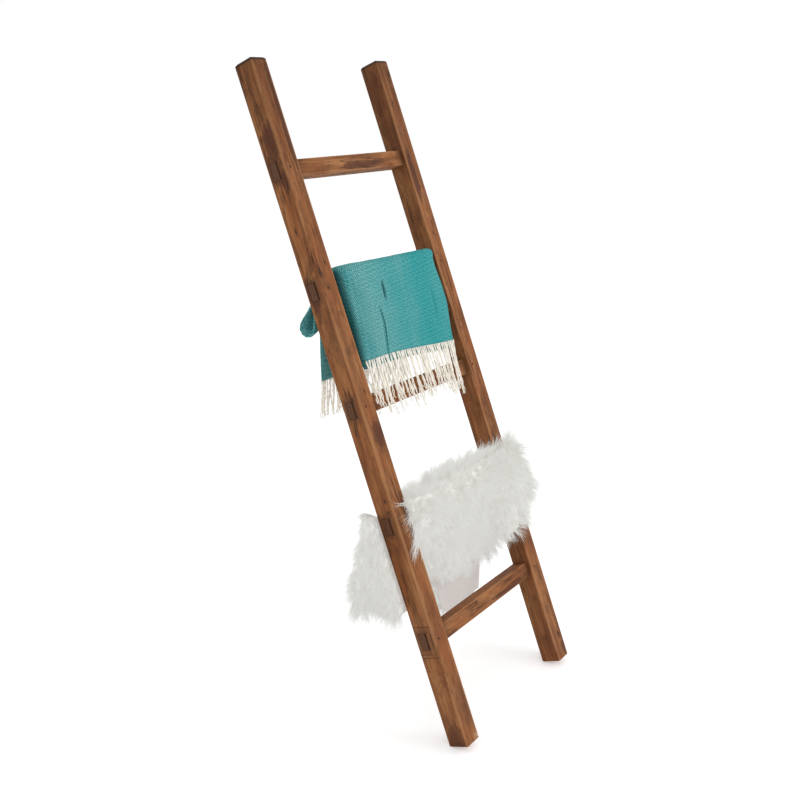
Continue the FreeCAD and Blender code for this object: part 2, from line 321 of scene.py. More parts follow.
def timber_place(paint):
    """X, depth from the rails' front faces and height along the rails."""
    x, y, z = paint.parts("Object")
    depth = y * DEPTH.y + z * DEPTH.z - FRONT
    along = y * ALONG.y + z * ALONG.z - FOOT
    return x, depth, along


class Grain:
    """The figure of one board: broad tone, streaks, fine fibres, dark blotches, splits and specks."""

    def __init__(self, paint, fibre, first, second, seed):
        def figure(across, lengthwise, shift, *settings):
            place = (first * across + seed + shift, second * across + seed, fibre * lengthwise)
            return paint.noise(place, *settings)

        self.paint = paint
        self.tone = figure(24, 4.5, 0.0, 4.0, 0.62, 0.6)
        warp = figure(22, 3.0, 0.0, 2.0)
        warped = (first * 110 + warp * 7 + seed, second * 110 + warp * 6, fibre * 4.4)
        self.streaks = paint.noise(warped, 4.0, 0.6)
        self.fibres = figure(800, 16, 0.0, 3.0, 0.65)
        self.blotches = figure(30, 13, 5.0, 5.0, 0.68, 0.5)
        self.clouds = figure(11, 6, 7.0, 3.0, 0.55)
        split_line = abs(figure(70, 3.4, 9.0, 2.0, 0.5, 0.4) - 0.5)
        self.splits = split_line.step(0.022, 0.006) * figure(14, 6, 2.0, 1.0).step(0.46, 0.58)
        self.specks = figure(190, 90, 3.0, 1.0).step(0.70, 0.78)

    def colour(self, look):
        """From dark growth lines to pale early wood, with stains and splits."""
        colour = self.paint.mix(self.tone.step(0.36, 0.64), look.red_wood, look.pale_wood)
        colour = colour.coat(self.streaks.step(0.56, 0.34) * 0.45, look.dark_wood)
        colour = colour.coat(self.streaks.step(0.52, 0.72) * 0.30, look.rubbed_wood)
        colour = colour.coat(self.blotches.step(0.50, 0.68) * 0.62, look.dark_wood)
        colour = colour.coat(self.clouds.step(0.48, 0.66) * 0.36, look.stained_wood)
        colour = colour.coat(self.fibres.step(0.55, 0.32) * 0.58, look.dark_wood)
        return colour.coat(self.specks * 0.7, look.knot_wood).coat(self.splits * 0.85, look.knot_wood)

    def surface(self, colour, raised=0.0):
        """Dry, matt old wood, with something raised above its own grain."""
        height = self.streaks * 0.5 + self.fibres * 0.5 - self.splits * 0.9 - self.specks * 0.3
        return self.paint.surface(
            Base_Color=colour,
            Roughness=0.78 - self.streaks * 0.2,
            Specular_IOR_Level=0.18,
            Normal=self.paint.bump(height + raised, 0.6, 0.9 * MM),
        )


def lens(first, second, middle_first, middle_second, half_first, half_second):
    """How far out a point lies in a lens-shaped mark: 0 at its middle and 1 at its rim."""
    across = (first - middle_first * MM) / (half_first * MM)
    lengthwise = (second - middle_second * MM) / (half_second * MM)
    return (across * across + lengthwise * lengthwise).root()


def knotted(colour, look, far, ring_share, heart_share):
    """A knot with rings round a dark heart."""
    rings = far.step(1.0, 0.35) * ((far * 17).sine() * 0.5 + 0.5)
    heart = far.step(0.42, 0.12)
    return colour.coat(rings * ring_share, look.dark_wood).coat(heart * heart_share, look.knot_wood)


def stained(colour, look, grain, far):
    """A dark, ragged stain with a darker rim."""
    ragged = far + (grain.blotches - 0.5) * 3.4
    colour = colour.coat(ragged.step(1.15, 0.60) * 0.80, look.stained_wood)
    return colour.coat(abs(ragged - 0.98).step(0.16, 0.02) * 0.45, look.knot_wood)


def rail_finish(name, look):
    side = -1 if name == "left_rail" else 1
    paint = Paint(name + "_timber")
    x, depth, along = timber_place(paint)
    sideways, backwards, upwards = paint.parts("Normal")
    endways = backwards * ALONG.y + upwards * ALONG.z
    flank = abs(sideways).step(0.45, 0.75)
    outer = (sideways * side).step(0.5, 0.8)
    inner = (sideways * -side).step(0.5, 0.8)
    grain = Grain(paint, along, x, depth, RAIL_SEEDS[name])
    colour = grain.colour(look)
    # Painted shade: faces that look sideways are tinted slightly darker and less red.
    colour = colour.coat(flank * look.flank_shade, look.flank_shade_tint, "MULTIPLY")
    # Painted shade: the rails' inner sides, facing each other between the rungs, are tinted darker.
    colour = colour.coat(inner * look.inner_shade, look.inner_shade_and_top_tint, "MULTIPLY")

    # Old joint marks round each tenon end on the outer face.
    beside = abs((along - FIRST_RUNG).wrapped(-RUNG_PITCH / 2, RUNG_PITCH / 2)) - RUNG_HALF
    off_tenon = beside.highest(abs(depth - TENON_MIDDLE) - TENON_HALF)
    ragged = (grain.blotches - 0.5) * (9 * MM)
    seam = (off_tenon + ragged * 0.35).step(2.2 * MM, 0.2 * MM) * outer
    joint_stain = (off_tenon + ragged * 7).step(24 * MM, -4 * MM) * outer
    colour = colour.coat(joint_stain * 0.8, look.dark_wood)

    surfaces = {"flank": (depth, outer), "face": (x, 1.0 - flank)}
    for facing, *mark in KNOTS[name]:
        across, shown = surfaces[facing]
        colour = knotted(colour, look, lens(across, along, *mark), shown * 0.55, shown * 0.9)
    for facing, *mark in STAINS[name]:
        across, shown = surfaces[facing]
        colour = colour.coat(shown, stained(colour, look, grain, lens(across, along, *mark)))

    if side < 0:
        for scribe in SCRIBE_LINES:
            line = abs(along - scribe).step(1.6 * MM, 0.5 * MM) * outer
            colour = colour.coat(line * grain.fibres.step(0.3, 0.5) * 0.8, look.knot_wood)
        chips = paint.noise((x * 260, depth * 60, along * 55), 1.0).step(0.50, 0.60)
        at_foot = along.step(24 * MM, 10 * MM) * x.step(-238 * MM, -228 * MM)
        colour = colour.coat(chips * at_foot * (1.0 - flank) * 0.8, look.chipped_wood)

    # The eased corners are rubbed pale in front, and the ends and checks are dark.
    half_x = (HALF_WIDTH - CLEAR_HALF) / 2
    off_middle = abs(x - side * (HALF_WIDTH + CLEAR_HALF) / 2)
    corner = off_middle.step(half_x - 7 * MM, half_x - 2 * MM) * depth.step(6 * MM, 2 * MM)
    colour = colour.coat(corner * grain.tone.step(0.3, 0.55) * 0.6, look.rubbed_wood)
    # Partly darker end grain and partly painted shade: a dark band just below each top end.
    top_band_grain_and_shade = along.step(RAIL_LENGTH - 10 * MM, RAIL_LENGTH - 5 * MM) * 0.85
    colour = colour.coat(endways.step(0.35, 0.6).highest(top_band_grain_and_shade) * 0.95, look.knot_wood)
    cut_foot = endways.step(-0.35, -0.6)
    colour = colour.coat(cut_foot * grain.blotches.step(0.4, 0.6) * 0.6, look.rubbed_wood)
    upper = along.step(RAIL_LENGTH * 0.74, RAIL_LENGTH * 0.98)
    colour = colour.coat(upper * look.top_shade, look.inner_shade_and_top_tint, "MULTIPLY")
    return grain.surface(colour.coat(seam * 0.85, look.knot_wood), seam * -1.2)


def rung_finish(name, look):
    paint = Paint(name + "_timber")
    x, depth, along = timber_place(paint)
    grain = Grain(paint, x, depth, along, RUNG_SEEDS[name])
    colour = grain.colour(look)
    middle = rung_middle(name)
    up = along - middle
    for mark in STAINS.get(name, ()):
        colour = stained(colour, look, grain, lens(x, up, *mark))
    for mark in KNOTS.get(name, ()):
        colour = knotted(colour, look, lens(x, up, *mark), 0.5, 0.85)
    edge = abs(up).step(RUNG_HALF - 5 * MM, RUNG_HALF - 1 * MM)
    rub = edge * depth.step(RUNG_FRONT + 6 * MM, RUNG_FRONT + 2 * MM) * grain.tone.step(0.3, 0.55)
    colour = colour.coat(rub * 0.5, look.rubbed_wood)
    near_rail = (abs(x) + (grain.blotches - 0.5) * (50 * MM)).step(CLEAR_HALF - 34 * MM, CLEAR_HALF)
    colour = colour.coat(near_rail * 0.70, look.dark_wood)

    # The tenon ends show end grain: pores and growth arcs across the rail's outer face.
    end_face = abs(x).step(HALF_WIDTH - 1.2 * MM, HALF_WIDTH - 0.4 * MM)
    arcs = ((depth + up * up * 26) * 1500 + grain.tone * 5).sine() * 0.5 + 0.5
    pores = paint.noise((x * 10, depth * 700, along * 420), 3.0, 0.7)
    end_colour = paint.mix(arcs * 0.5, look.end_grain, look.dark_wood)
    end_colour = end_colour.coat(pores.step(0.58, 0.44) * 0.5, look.knot_wood)
    return grain.surface(colour.coat(end_face, end_colour), end_face * pores)


def small_timber_finish(name, look, shade):
    """Wedges, pins and the patch: short pieces, darkened towards the knot colour by the given share."""
    paint = Paint(name)
    x, depth, along = timber_place(paint)
    grain = Grain(paint, along, x, depth, SMALL_TIMBER_SEED)
    return grain.surface(grain.colour(look).coat(shade, look.knot_wood))


# ---- Soft sheets ----


def rounded(points):
    """Places along straight runs joined by arcs, from (y, z, radius) points."""
    fine = 0.5 * MM
    places = [Vector(points[0][:2])]
    for before, here, after in zip(points, points[1:], points[2:]):
        corner = Vector(here[:2])
        into = (corner - Vector(before[:2])).normalized()
        away = (Vector(after[:2]) - corner).normalized()
        turn = into.angle_signed(away)
        radius = here[2]
        start = corner - into * (radius * math.tan(abs(turn) / 2))
        inward = Vector((into.y, -into.x)) * math.copysign(1.0, turn)
        centre = start + inward * radius
        spoke = start - centre
        steps = max(3, int(abs(turn) * radius / fine))
        for step in range(steps + 1):
            angle = -turn * step / steps
            turned = Vector((
                spoke.x * math.cos(angle) - spoke.y * math.sin(angle),
                spoke.x * math.sin(angle) + spoke.y * math.cos(angle),
            ))
            places.append(centre + turned)
    places.append(Vector(points[-1][:2]))
    return np.array([tuple(place) for place in places])


def walked(places, count):
    """Even steps along a line of places, with the direction to its left at each."""
    travel = np.concatenate([[0.0], np.cumsum(np.hypot(*np.diff(places, axis=0).T))])
    steps = np.linspace(0.0, travel[-1], count)
    even = np.stack([np.interp(steps, travel, places[:, axis]) for axis in range(2)], axis=1)
    ahead = unit(np.gradient(even, axis=0))
    left = np.stack([-ahead[:, 1], ahead[:, 0]], axis=1)
    return even, left, steps


def over_rung(along, offset):
    """The front-top and back-top corners of a line that passes over a rung at this offset."""
    radius = offset + RUNG_ARRIS
    front = leaned(RUNG_FRONT - offset, along + RUNG_HALF + offset)
    centre_y, centre_z = leaned(RUNG_BACK - RUNG_ARRIS, along + RUNG_HALF - RUNG_ARRIS)
    drop = radius * (1 - ALONG.y) / ALONG.z
    back = (centre_y + radius, centre_z + radius * ALONG.z - drop * ALONG.y)
    return (*front, radius), (*back, radius)


def switch_to(mode):
    bpy.ops.object.mode_set(mode=mode)


def select_none(kind):
    """Deselect the whole mesh, and leave it ready for its faces or edges to be picked in code."""
    switch_to("EDIT")
    bpy.ops.mesh.select_all(action="DESELECT")
    bpy.ops.mesh.select_mode(type=kind)
    switch_to("OBJECT")


def grid_places(values, columns, rows):
    """The column and row of each corner of a flat grid, from its place between 0 and 1."""
    column = np.rint(values[:, 0] * (columns - 1)).astype(int)
    row = np.rint(values[:, 1] * (rows - 1)).astype(int)
    return column, row


def read(items, key, size):
    """One value of each item, such as a point's place, as rows of numbers."""
    values = np.zeros(len(items) * size)
    items.foreach_get(key, values)
    return values.reshape(-1, size)


def grid_piece(name, places, keep=None):
    """A grid added flat, whose points are then laid at their places. keep says which cells stay."""
    columns, rows = places.shape[:2]
    bpy.ops.object.select_all(action="DESELECT")
    bpy.ops.mesh.primitive_grid_add(x_subdivisions=columns - 1, y_subdivisions=rows - 1, size=1.0)
    piece = bpy.context.object
    piece.name = name
    mesh = piece.data
    column, row = grid_places(read(mesh.vertices, "co", 3) + 0.5, columns, rows)
    mesh.vertices.foreach_set("co", places[column, row].ravel())
    if keep is not None:
        select_none("FACE")
        for face in mesh.polygons:
            corners = list(face.vertices)
            face.select = not keep[column[corners].min(), row[corners].min()]
        switch_to("EDIT")
        bpy.ops.mesh.delete(type="FACE")
        switch_to("OBJECT")
    mesh.update()
    return piece


def flat_map(piece, across, lengthwise):
    """Write the sheet's flat size, in metres, into its UV map, from each corner's place in the grid."""
    layer = piece.data.uv_layers.active
    column, row = grid_places(read(layer.data, "uv", 2), len(across), len(lengthwise))
    layer.data.foreach_set("uv", np.stack([across[column], lengthwise[row]], axis=1).ravel())


def added(name, data):
    """A new object in the scene."""
    piece = bpy.data.objects.new(name, data)
    bpy.context.scene.collection.objects.link(piece)
    return piece


def choose(piece):
    """Select this piece alone."""
    bpy.ops.object.select_all(action="DESELECT")
    piece.select_set(True)
    bpy.context.view_layer.objects.active = piece


def apply_modifier(piece, kind, **settings):
    """Finish a piece with one modifier."""
    choose(piece)
    modifier = piece.modifiers.new(kind.lower(), kind)
    for key, value in settings.items():
        setattr(modifier, key, value)
    bpy.ops.object.modifier_apply(modifier=modifier.name)


def smooth_shade(piece):
    choose(piece)
    bpy.ops.object.shade_smooth()


def strand_form(sides, rings):
    """One thread of unit length and radius, as points and faces: a cylinder cut into rings."""
    bpy.ops.object.select_all(action="DESELECT")
    bpy.ops.mesh.primitive_cylinder_add(vertices=sides, radius=1.0, depth=1.0, location=(0, 0, 0.5))
    form = bpy.context.object
    bpy.ops.object.transform_apply(location=True)
    select_none("EDGE")
    for edge in form.data.edges:
        low, high = (form.data.vertices[index].co.z for index in edge.vertices)
        edge.select = abs(high - low) > 0.5
    switch_to("EDIT")
    bpy.ops.mesh.subdivide(number_cuts=rings - 2)
    bpy.ops.mesh.select_all(action="SELECT")
    bpy.ops.mesh.quads_convert_to_tris()
    switch_to("OBJECT")
    points = np.array([vertex.co[:] for vertex in form.data.vertices])
    faces = np.array([face.vertices[:] for face in form.data.polygons])
    bpy.data.objects.remove(form)
    return points, faces


def threads(name, form, lines, thickness, tones):
    """Copies of a thread form, each bent along its own line. tones go to the UV map with the height."""
    points, faces = form
    count, rings, _ = lines.shape
    ring = np.rint(points[:, 2] * (rings - 1)).astype(int)
    ahead = unit(np.gradient(lines, axis=1))
    helper = np.where(abs(ahead[:, :1, 2:]) > 0.9, [1.0, 0.0, 0.0], [0.0, 0.0, 1.0])
    first = unit(np.cross(ahead, np.broadcast_to(helper, ahead.shape)))
    second = np.cross(ahead, first)
    around = points[:, 0, None] * first[:, ring] + points[:, 1, None] * second[:, ring]
    copies = lines[:, ring] + thickness[:, ring, None] * around
    corners = faces[None] + (np.arange(count) * len(points))[:, None, None]
    mesh = bpy.data.meshes.new(name)
    mesh.vertices.add(count * len(points))
    mesh.vertices.foreach_set("co", copies.ravel())
    mesh.loops.add(corners.size)
    mesh.loops.foreach_set("vertex_index", corners.ravel().astype(np.int32))
    mesh.polygons.add(corners.size // 3)
    mesh.polygons.foreach_set("loop_start", np.arange(0, corners.size, 3, dtype=np.int32))
    height = np.broadcast_to(points[faces.ravel(), 2], (count, faces.size))
    shade = np.broadcast_to(tones[:, None], (count, faces.size))
    layer = mesh.uv_layers.new(name="UVMap")
    layer.data.foreach_set("uv", np.stack([shade, height], axis=2).ravel())
    mesh.update(calc_edges=True)
    mesh.validate()
    piece = added(name, mesh)
    smooth_shade(piece)
    return piece


# ---- Throw ----

# The cloth's grid: columns across its outer, widest layer and across each layer under it, and rows along it.
OUTER_COLUMNS = 148
UNDER_COLUMNS = 26
THROW_ROWS = 216

# Creases in the front panel: upper end, lower end (X and travel from the hem) and depth.
CREASES = (
    ((-56 * MM, 228 * MM), (-62 * MM, 160 * MM), 6 * MM),
    ((-98 * MM, 146 * MM), (-104 * MM, -20 * MM), 8 * MM),
    ((150 * MM, 176 * MM), (146 * MM, 60 * MM), 1.5 * MM),
)


def crease(x, travel, start, end, depth):
    """A sharp valley in the front panel with a raised lip on its left, from start to end."""
    share = np.clip((travel - end[1]) / (start[1] - end[1]), 0.0, 1.0)
    off = x - (end[0] + (start[0] - end[0]) * share)
    reach = 18 * MM
    fade = smooth(travel, end[1] - reach, end[1] + reach)
    fade = fade * (1 - smooth(travel, start[1] - reach, start[1] + reach))
    lip = np.where(off < 0, bell(off, 24 * MM), bell(off, 9 * MM))
    return depth * fade * (0.35 * lip - bell(off, 4.6 * MM))


def throw_line(look):
    """Front hem, over the rung, a hanging loop, back over, a hidden turn, over again, rear hem."""
    along = rung_middle("second_rung")
    top = along + RUNG_HALF
    inner = look.rung_clearance + look.stack / 2
    middle = inner + look.pass_pitch
    outer = inner + 2 * look.pass_pitch
    outer_front, outer_back = over_rung(along, outer)
    middle_front, middle_back = over_rung(along, middle)
    inner_front, inner_back = over_rung(along, inner)
    loop_z = outer_back[1] - look.loop_drop
    loop_y = outer_back[0] + look.loop_spread
    loop_radius = 0.45 * (loop_y - middle_back[0])
    turn = top - look.inner_drop
    turn_radius = look.pass_pitch / 2 - 0.1 * MM
    knee = turn - look.pass_pitch - look.knee_gap
    return [
        (*leaned(look.hem_setback, top - look.front_drop), 0.0),
        (*leaned(RUNG_FRONT - outer, knee), look.knee_radius),
        outer_front,
        outer_back,
        (loop_y, loop_z, loop_radius),
        (middle_back[0], loop_z, loop_radius),
        middle_back,
        middle_front,
        (*leaned(RUNG_FRONT - middle, turn), turn_radius),
        (*leaned(RUNG_FRONT - inner, turn), turn_radius),
        inner_front,
        inner_back,
        (inner_back[0], inner_back[1] - look.rear_drop, 0.0),
    ]


def folded_across(look):
    """X, lift above the stack's middle and flat place of each column, through the three layers."""
    fold = look.layer_pitch / 2
    left = -look.width / 2 + fold
    right = look.width / 2 - fold
    run = look.width - 2 * fold
    outer = np.linspace(0.0, 1.0, OUTER_COLUMNS)
    under = np.linspace(0.0, 1.0, UNDER_COLUMNS)
    turn = np.pi * np.linspace(0.0, 1.0, 7)[1:-1]
    x = np.concatenate([
        right - run * outer,
        left - fold * np.sin(turn),
        left + run * under,
        right + fold * np.sin(turn),
        right - run * under,
    ])
    lift = look.layer_pitch * np.concatenate([
        np.full(len(outer), 1.0),
        0.5 + 0.5 * np.cos(turn),
        np.full(len(under), 0.0),
        -0.5 + 0.5 * np.cos(turn),
        np.full(len(under), -1.0),
    ])
    return x, lift, np.concatenate([[0.0], np.cumsum(np.hypot(np.diff(x), np.diff(lift)))])


def throw_sheet(look):
    """The cloth as one flat sheet, folded in three across and laid over the rung in three passes."""
    half = look.width / 2
    x, lift, across = folded_across(look)
    line, left, travel = walked(rounded(throw_line(look)), THROW_ROWS)
    length = travel[-1]
    top_z = line[:, 1].max()
    crest = travel[np.argmax(line[:, 1])]
    in_loop = (travel > crest) & (travel < 0.62 * length)
    loop = travel[np.argmin(np.where(in_loop, line[:, 1], 9.0))]

    grid_x, grid_t = np.meshgrid(x, travel, indexing="ij")
    grid_lift = np.broadcast_to(lift[:, None], grid_x.shape)
    first_pass = 1 - smooth(grid_t, loop - 20 * MM, loop + 20 * MM)
    on_front = 1 - smooth(grid_t, crest - 40 * MM, crest + 10 * MM)
    near_loop = bell(grid_t - loop, 62 * MM)
    to_right = (grid_x + half) / look.width
    to_left = 1 - to_right

    # The front panel narrows to the right of its hem, and the under passes stop short of both rails.
    narrow = look.right_taper / look.width * (1 - 0.62 * np.clip(grid_t / crest, 0, 1) ** 2.5) * on_front
    short = look.under_short / look.width * (1 - first_pass)
    placed_x = -half + (grid_x + half) * (1 - narrow - short)
    in_front = smooth(line[np.argmax(line[:, 1]), 0] - line[:, 0], -12 * MM, 12 * MM)[None, :]
    placed_x = placed_x + look.edge_roll * to_left * (1 - first_pass) * in_front
    placed_x = placed_x - look.loop_reach * near_loop * to_left
    wander = 3.0 * MM * sheet_noise(grid_t, grid_lift * 40, 120 * MM, 3.0)
    placed_x = placed_x + wander * (1 - 2 * to_right)

    # The hem rises to the left, and the loop's left end sags and swells.
    hem_share = 1 - smooth(grid_t, 0.0, crest - 30 * MM)
    stagger = look.hem_stagger * np.clip(grid_lift / look.layer_pitch, 0, 1)
    rise = (look.hem_rise * (1 - smooth(to_right, 0.2, 1.1)) + stagger) * hem_share
    loop_end = near_loop * bell(placed_x + half + look.loop_reach, 34 * MM)
    along_line = grid_t + rise
    line_y, line_z = (np.interp(along_line, travel, line[:, axis]) for axis in (0, 1))
    left_y, left_z = (np.interp(along_line, travel, left[:, axis]) for axis in (0, 1))
    line_z = line_z - look.loop_sag * near_loop * to_left

    # The passes are pressed thinner to the right, and past the under ones' ends the outer one sinks.
    on_rung = smooth(line_z, top_z - 100 * MM, top_z - 30 * MM)
    depth_share = np.interp(travel, [loop, loop + 40 * MM, 0.72 * length], [1.0, 0.55, 0.15])[None, :]
    sink = look.right_sink * to_right * on_rung * depth_share
    from_end = np.clip(1 - (half - grid_x) / look.shoulder_run, 0, 1)
    round_end = 1 - np.sqrt(1 - (0.98 * from_end) ** 2)
    sink = sink + look.shoulder_sink * round_end * bell(grid_t - crest, 80 * MM) * first_pass

    # Swells, waves at the hems, creases and the rolled left edge.
    offset = grid_lift * (1 + 0.10 * sheet_noise(grid_x, grid_t, 140 * MM, 9.0)) - sink
    offset = offset + 1.6 * MM * sheet_noise(grid_x, along_line, 90 * MM, 1.0)
    offset = offset + 0.8 * MM * sheet_noise(grid_x, along_line, 38 * MM, 2.0)
    offset = offset + sum(crease(grid_x, grid_t, *ends) for ends in CREASES) * on_front
    hem_wave = 3.2 * MM * sheet_noise(grid_x, grid_t * 0.3, 70 * MM, 5.0)
    rear_wave = 5.0 * MM * sheet_noise(grid_x, grid_t * 0.3, 90 * MM, 6.0)
    offset = offset + hem_wave * (1 - smooth(grid_t, 0.0, 130 * MM))
    offset = offset + rear_wave * smooth(grid_t, length - 200 * MM, length)
    to_edge = np.clip(1 - (grid_x + half) / look.edge_roll, 0, 1)
    rolled = look.edge_roll * (1 - np.sqrt(1 - (0.97 * to_edge) ** 2)) * first_pass
    offset = offset - rolled * (1 - near_loop) + look.loop_swell * loop_end

    places = np.stack([placed_x, line_y + left_y * offset, line_z + left_z * offset], axis=2)
    piece = grid_piece("throw_cloth", places)
    flat_map(piece, across, travel)
    apply_modifier(piece, "SOLIDIFY", thickness=look.cloth_thickness, offset=0.0)
    smooth_shade(piece)
    return piece, (places[:, 0], places[:, -1]), (across[-1], length)


def tassels(name, hem, ahead, full_length, look, seed):
    """Knotted threads along a hem: each a knot and two twisted yarns that hang from it."""
    rng = np.random.default_rng(seed)
    rings = 13
    share = np.linspace(0.0, 1.0, rings)
    lines = []
    widths = []
    tones = []
    last = len(hem) - 1
    for root in np.linspace(0, last, look.tassels):
        spot = np.clip(root + rng.uniform(-0.4, 0.4), 0, last)
        low = int(spot)
        high = min(low + 1, last)
        start = hem[low] + (hem[high] - hem[low]) * (spot - low)
        length = full_length * rng.uniform(0.80, 1.06)
        lean = rng.normal(0.0, 0.09, 2)
        way = unit(ahead + np.array([lean[0], 0.35 * lean[1], 0.0]))
        bow = rng.normal(0.0, 5.5 * MM, 2)
        phase = rng.uniform(0, 2 * math.pi)
        turns = rng.uniform(2.2, 3.4)
        open_tip = rng.uniform(1.0, 4.5) * MM
        for ply in (0.0, math.pi):
            angle = phase + ply + 2 * math.pi * turns * share
            apart = look.yarn_radius * 0.8 + open_tip * share**4
            side = np.stack([np.cos(angle) * apart, 0.5 * np.sin(angle) * apart, 0 * angle], axis=1)
            bend = np.stack([bow[0] * share**2, 0.3 * bow[1] * share**2, 0 * share], axis=1)
            wiggle = np.sin(share * 9 + phase)[:, None] * share[:, None] * np.array([3.0, 1.0, 0]) * MM
            lines.append(start + way * length * share[:, None] + side + bend + wiggle)
            knot = 1 + 0.25 * bell(share - 0.03, 0.05)
            widths.append(look.yarn_radius * knot * (1 - 0.35 * share))
            tones.append(rng.uniform())
    form = strand_form(5, rings)
    return threads(name, form, np.array(lines), np.array(widths), np.array(tones))


def throw_finish(look):
    """A fine herringbone in teal and pale grey, with broad soft bands along the cloth."""
    paint = Paint("woven_cloth")
    across, lengthwise = paint.parts("UV", (0, 1))
    chevron = abs(across.wrapped(0.0, 2 * look.chevron) - look.chevron)
    turn = 2 * math.pi / look.weave
    weft = ((lengthwise + chevron) * turn).sine()
    warp = ((across + lengthwise * 0.5) * turn).sine()
    flecks = paint.noise((across * 270, lengthwise * 270, 0.0), 1.0, 0.6)
    thread = weft * 0.75 + weft * warp * 0.60 + (flecks - 0.5) * 3.0
    band = paint.noise((across * 7.5, lengthwise * 0.4, 4.2), 1.0, 0.5)
    patch = paint.noise((across * 30, lengthwise * 9, 8.0), 3.0, 0.6)
    left_half = across.step(look.width * 0.30, look.width * 0.85)
    band = (band * 0.55 + patch * 0.27 + left_half * 0.17 + 0.02).step(0.34, 0.68)
    colour = paint.mix(band * 0.30, look.teal, look.pale)
    colour = colour.coat(thread.step(0.0, 1.0) * (band * 0.50 + 0.28), look.pale)
    colour = colour.coat(thread.step(0.1, -0.9) * 0.95, look.deep)

    # Towards the left fold the twill shows and deepens into painted shade, and the fold itself has dark
    # painted shade.
    front = lengthwise.step(look.front_drop + 70 * MM, look.front_drop + 10 * MM)
    twill = ((lengthwise + across * 0.8) * (2 * math.pi / look.twill)).sine().step(0.1, 0.7)
    twill_and_fold_shade = across.step(look.width - look.twill_and_shade_run, look.width - 0.01) * (front * 0.75 + 0.25)
    colour = colour.coat(twill * twill_and_fold_shade * 0.85, look.deep)
    fold_shade = abs(across - look.width).step(look.edge_roll * 0.7, look.edge_roll * 0.1) * front
    colour = colour.coat(fold_shade * 0.8, look.fold_and_crease_shade)

    # Each crease has a pale painted highlight on its lip and a dark painted shade in its valley, which taper
    # to both ends.
    side = look.width / 2 - look.layer_pitch / 2 - across
    for start, end, depth in CREASES:
        share = (lengthwise - end[1]) / (start[1] - end[1])
        off = side - (share * (start[0] - end[0]) + end[0])
        ends = share.step(-0.10, 0.10) * share.step(1.06, 0.80)
        belly = (share - share * share) * 4.0
        valley = (abs(off - 3.0 * MM) + (belly - 1.0) * (-4.5 * MM)).step(7.5 * MM, 0.8 * MM)
        lip = abs(off + 7 * MM).step(6 * MM, 1 * MM)
        colour = colour.coat(lip * ends * depth * 30, look.pale)
        colour = colour.coat(valley * ends * depth * 110, look.fold_and_crease_shade)
    return paint.surface(
        Base_Color=colour,
        Roughness=0.9,
        Specular_IOR_Level=0.05,
        Normal=paint.bump(thread * 0.6, 0.7, 0.9 * MM),
    )


def yarn_finish(look):
    paint = Paint("fringe_yarn")
    shade, height = paint.parts("UV", (0, 1))
    twist = (height * 160 + shade * 20).sine() * 0.5 + 0.5
    colour = paint.mix(shade * 0.6, look.yarn, look.yarn_shade).coat(twist * 0.25, look.yarn_shade)
    return paint.surface(
        Base_Color=colour,
        Roughness=0.9,
        Specular_IOR_Level=0.1,
        # Painted glow: the yarn gives off a little light of its own to look brighter.
        Emission_Color=(1.0, 0.96, 0.88),
        Emission_Strength=look.yarn_glow,
        Normal=paint.bump(twist, 0.4, 0.4 * MM),
    )


# ---- Sheepskin ----

# The skin's grid: a flap of columns at its left, a band over the rung, and a leg of columns at its right.
SKIN_HALF = 212 * MM
PAST_BAND = SKIN_HALF + 1 * MM
FLAP_COLUMNS = 26
BAND_COLUMNS = 52
LEG_COLUMNS = 14
FRONT_ROWS = 30
REAR_ROWS = 38

# The left flap's tip hangs between these two: below the skin's top, and above its lowest edge.
FLAP_TIP_TOP = 6 * MM
FLAP_TIP_LOW = 68 * MM

# The right leg's edges above and below the fourth rung's middle, where it leaves the band and at its tip.
LEG_TOPS = (62 * MM, 16 * MM)
LEG_BOTTOMS = (130 * MM, 90 * MM)

# How far the skin hangs below the fourth rung's top, in front and behind, at places across it.
SKIN_PLACES = np.array([-212, -150, -50, 0, 24, 60, 140, 212]) * MM
SKIN_FRONTS = np.array([138, 180, 222, 234, 238, 240, 216, 164]) * MM
SKIN_REARS = np.array([300, 300, 284, 284, 392, 408, 425, 385]) * MM


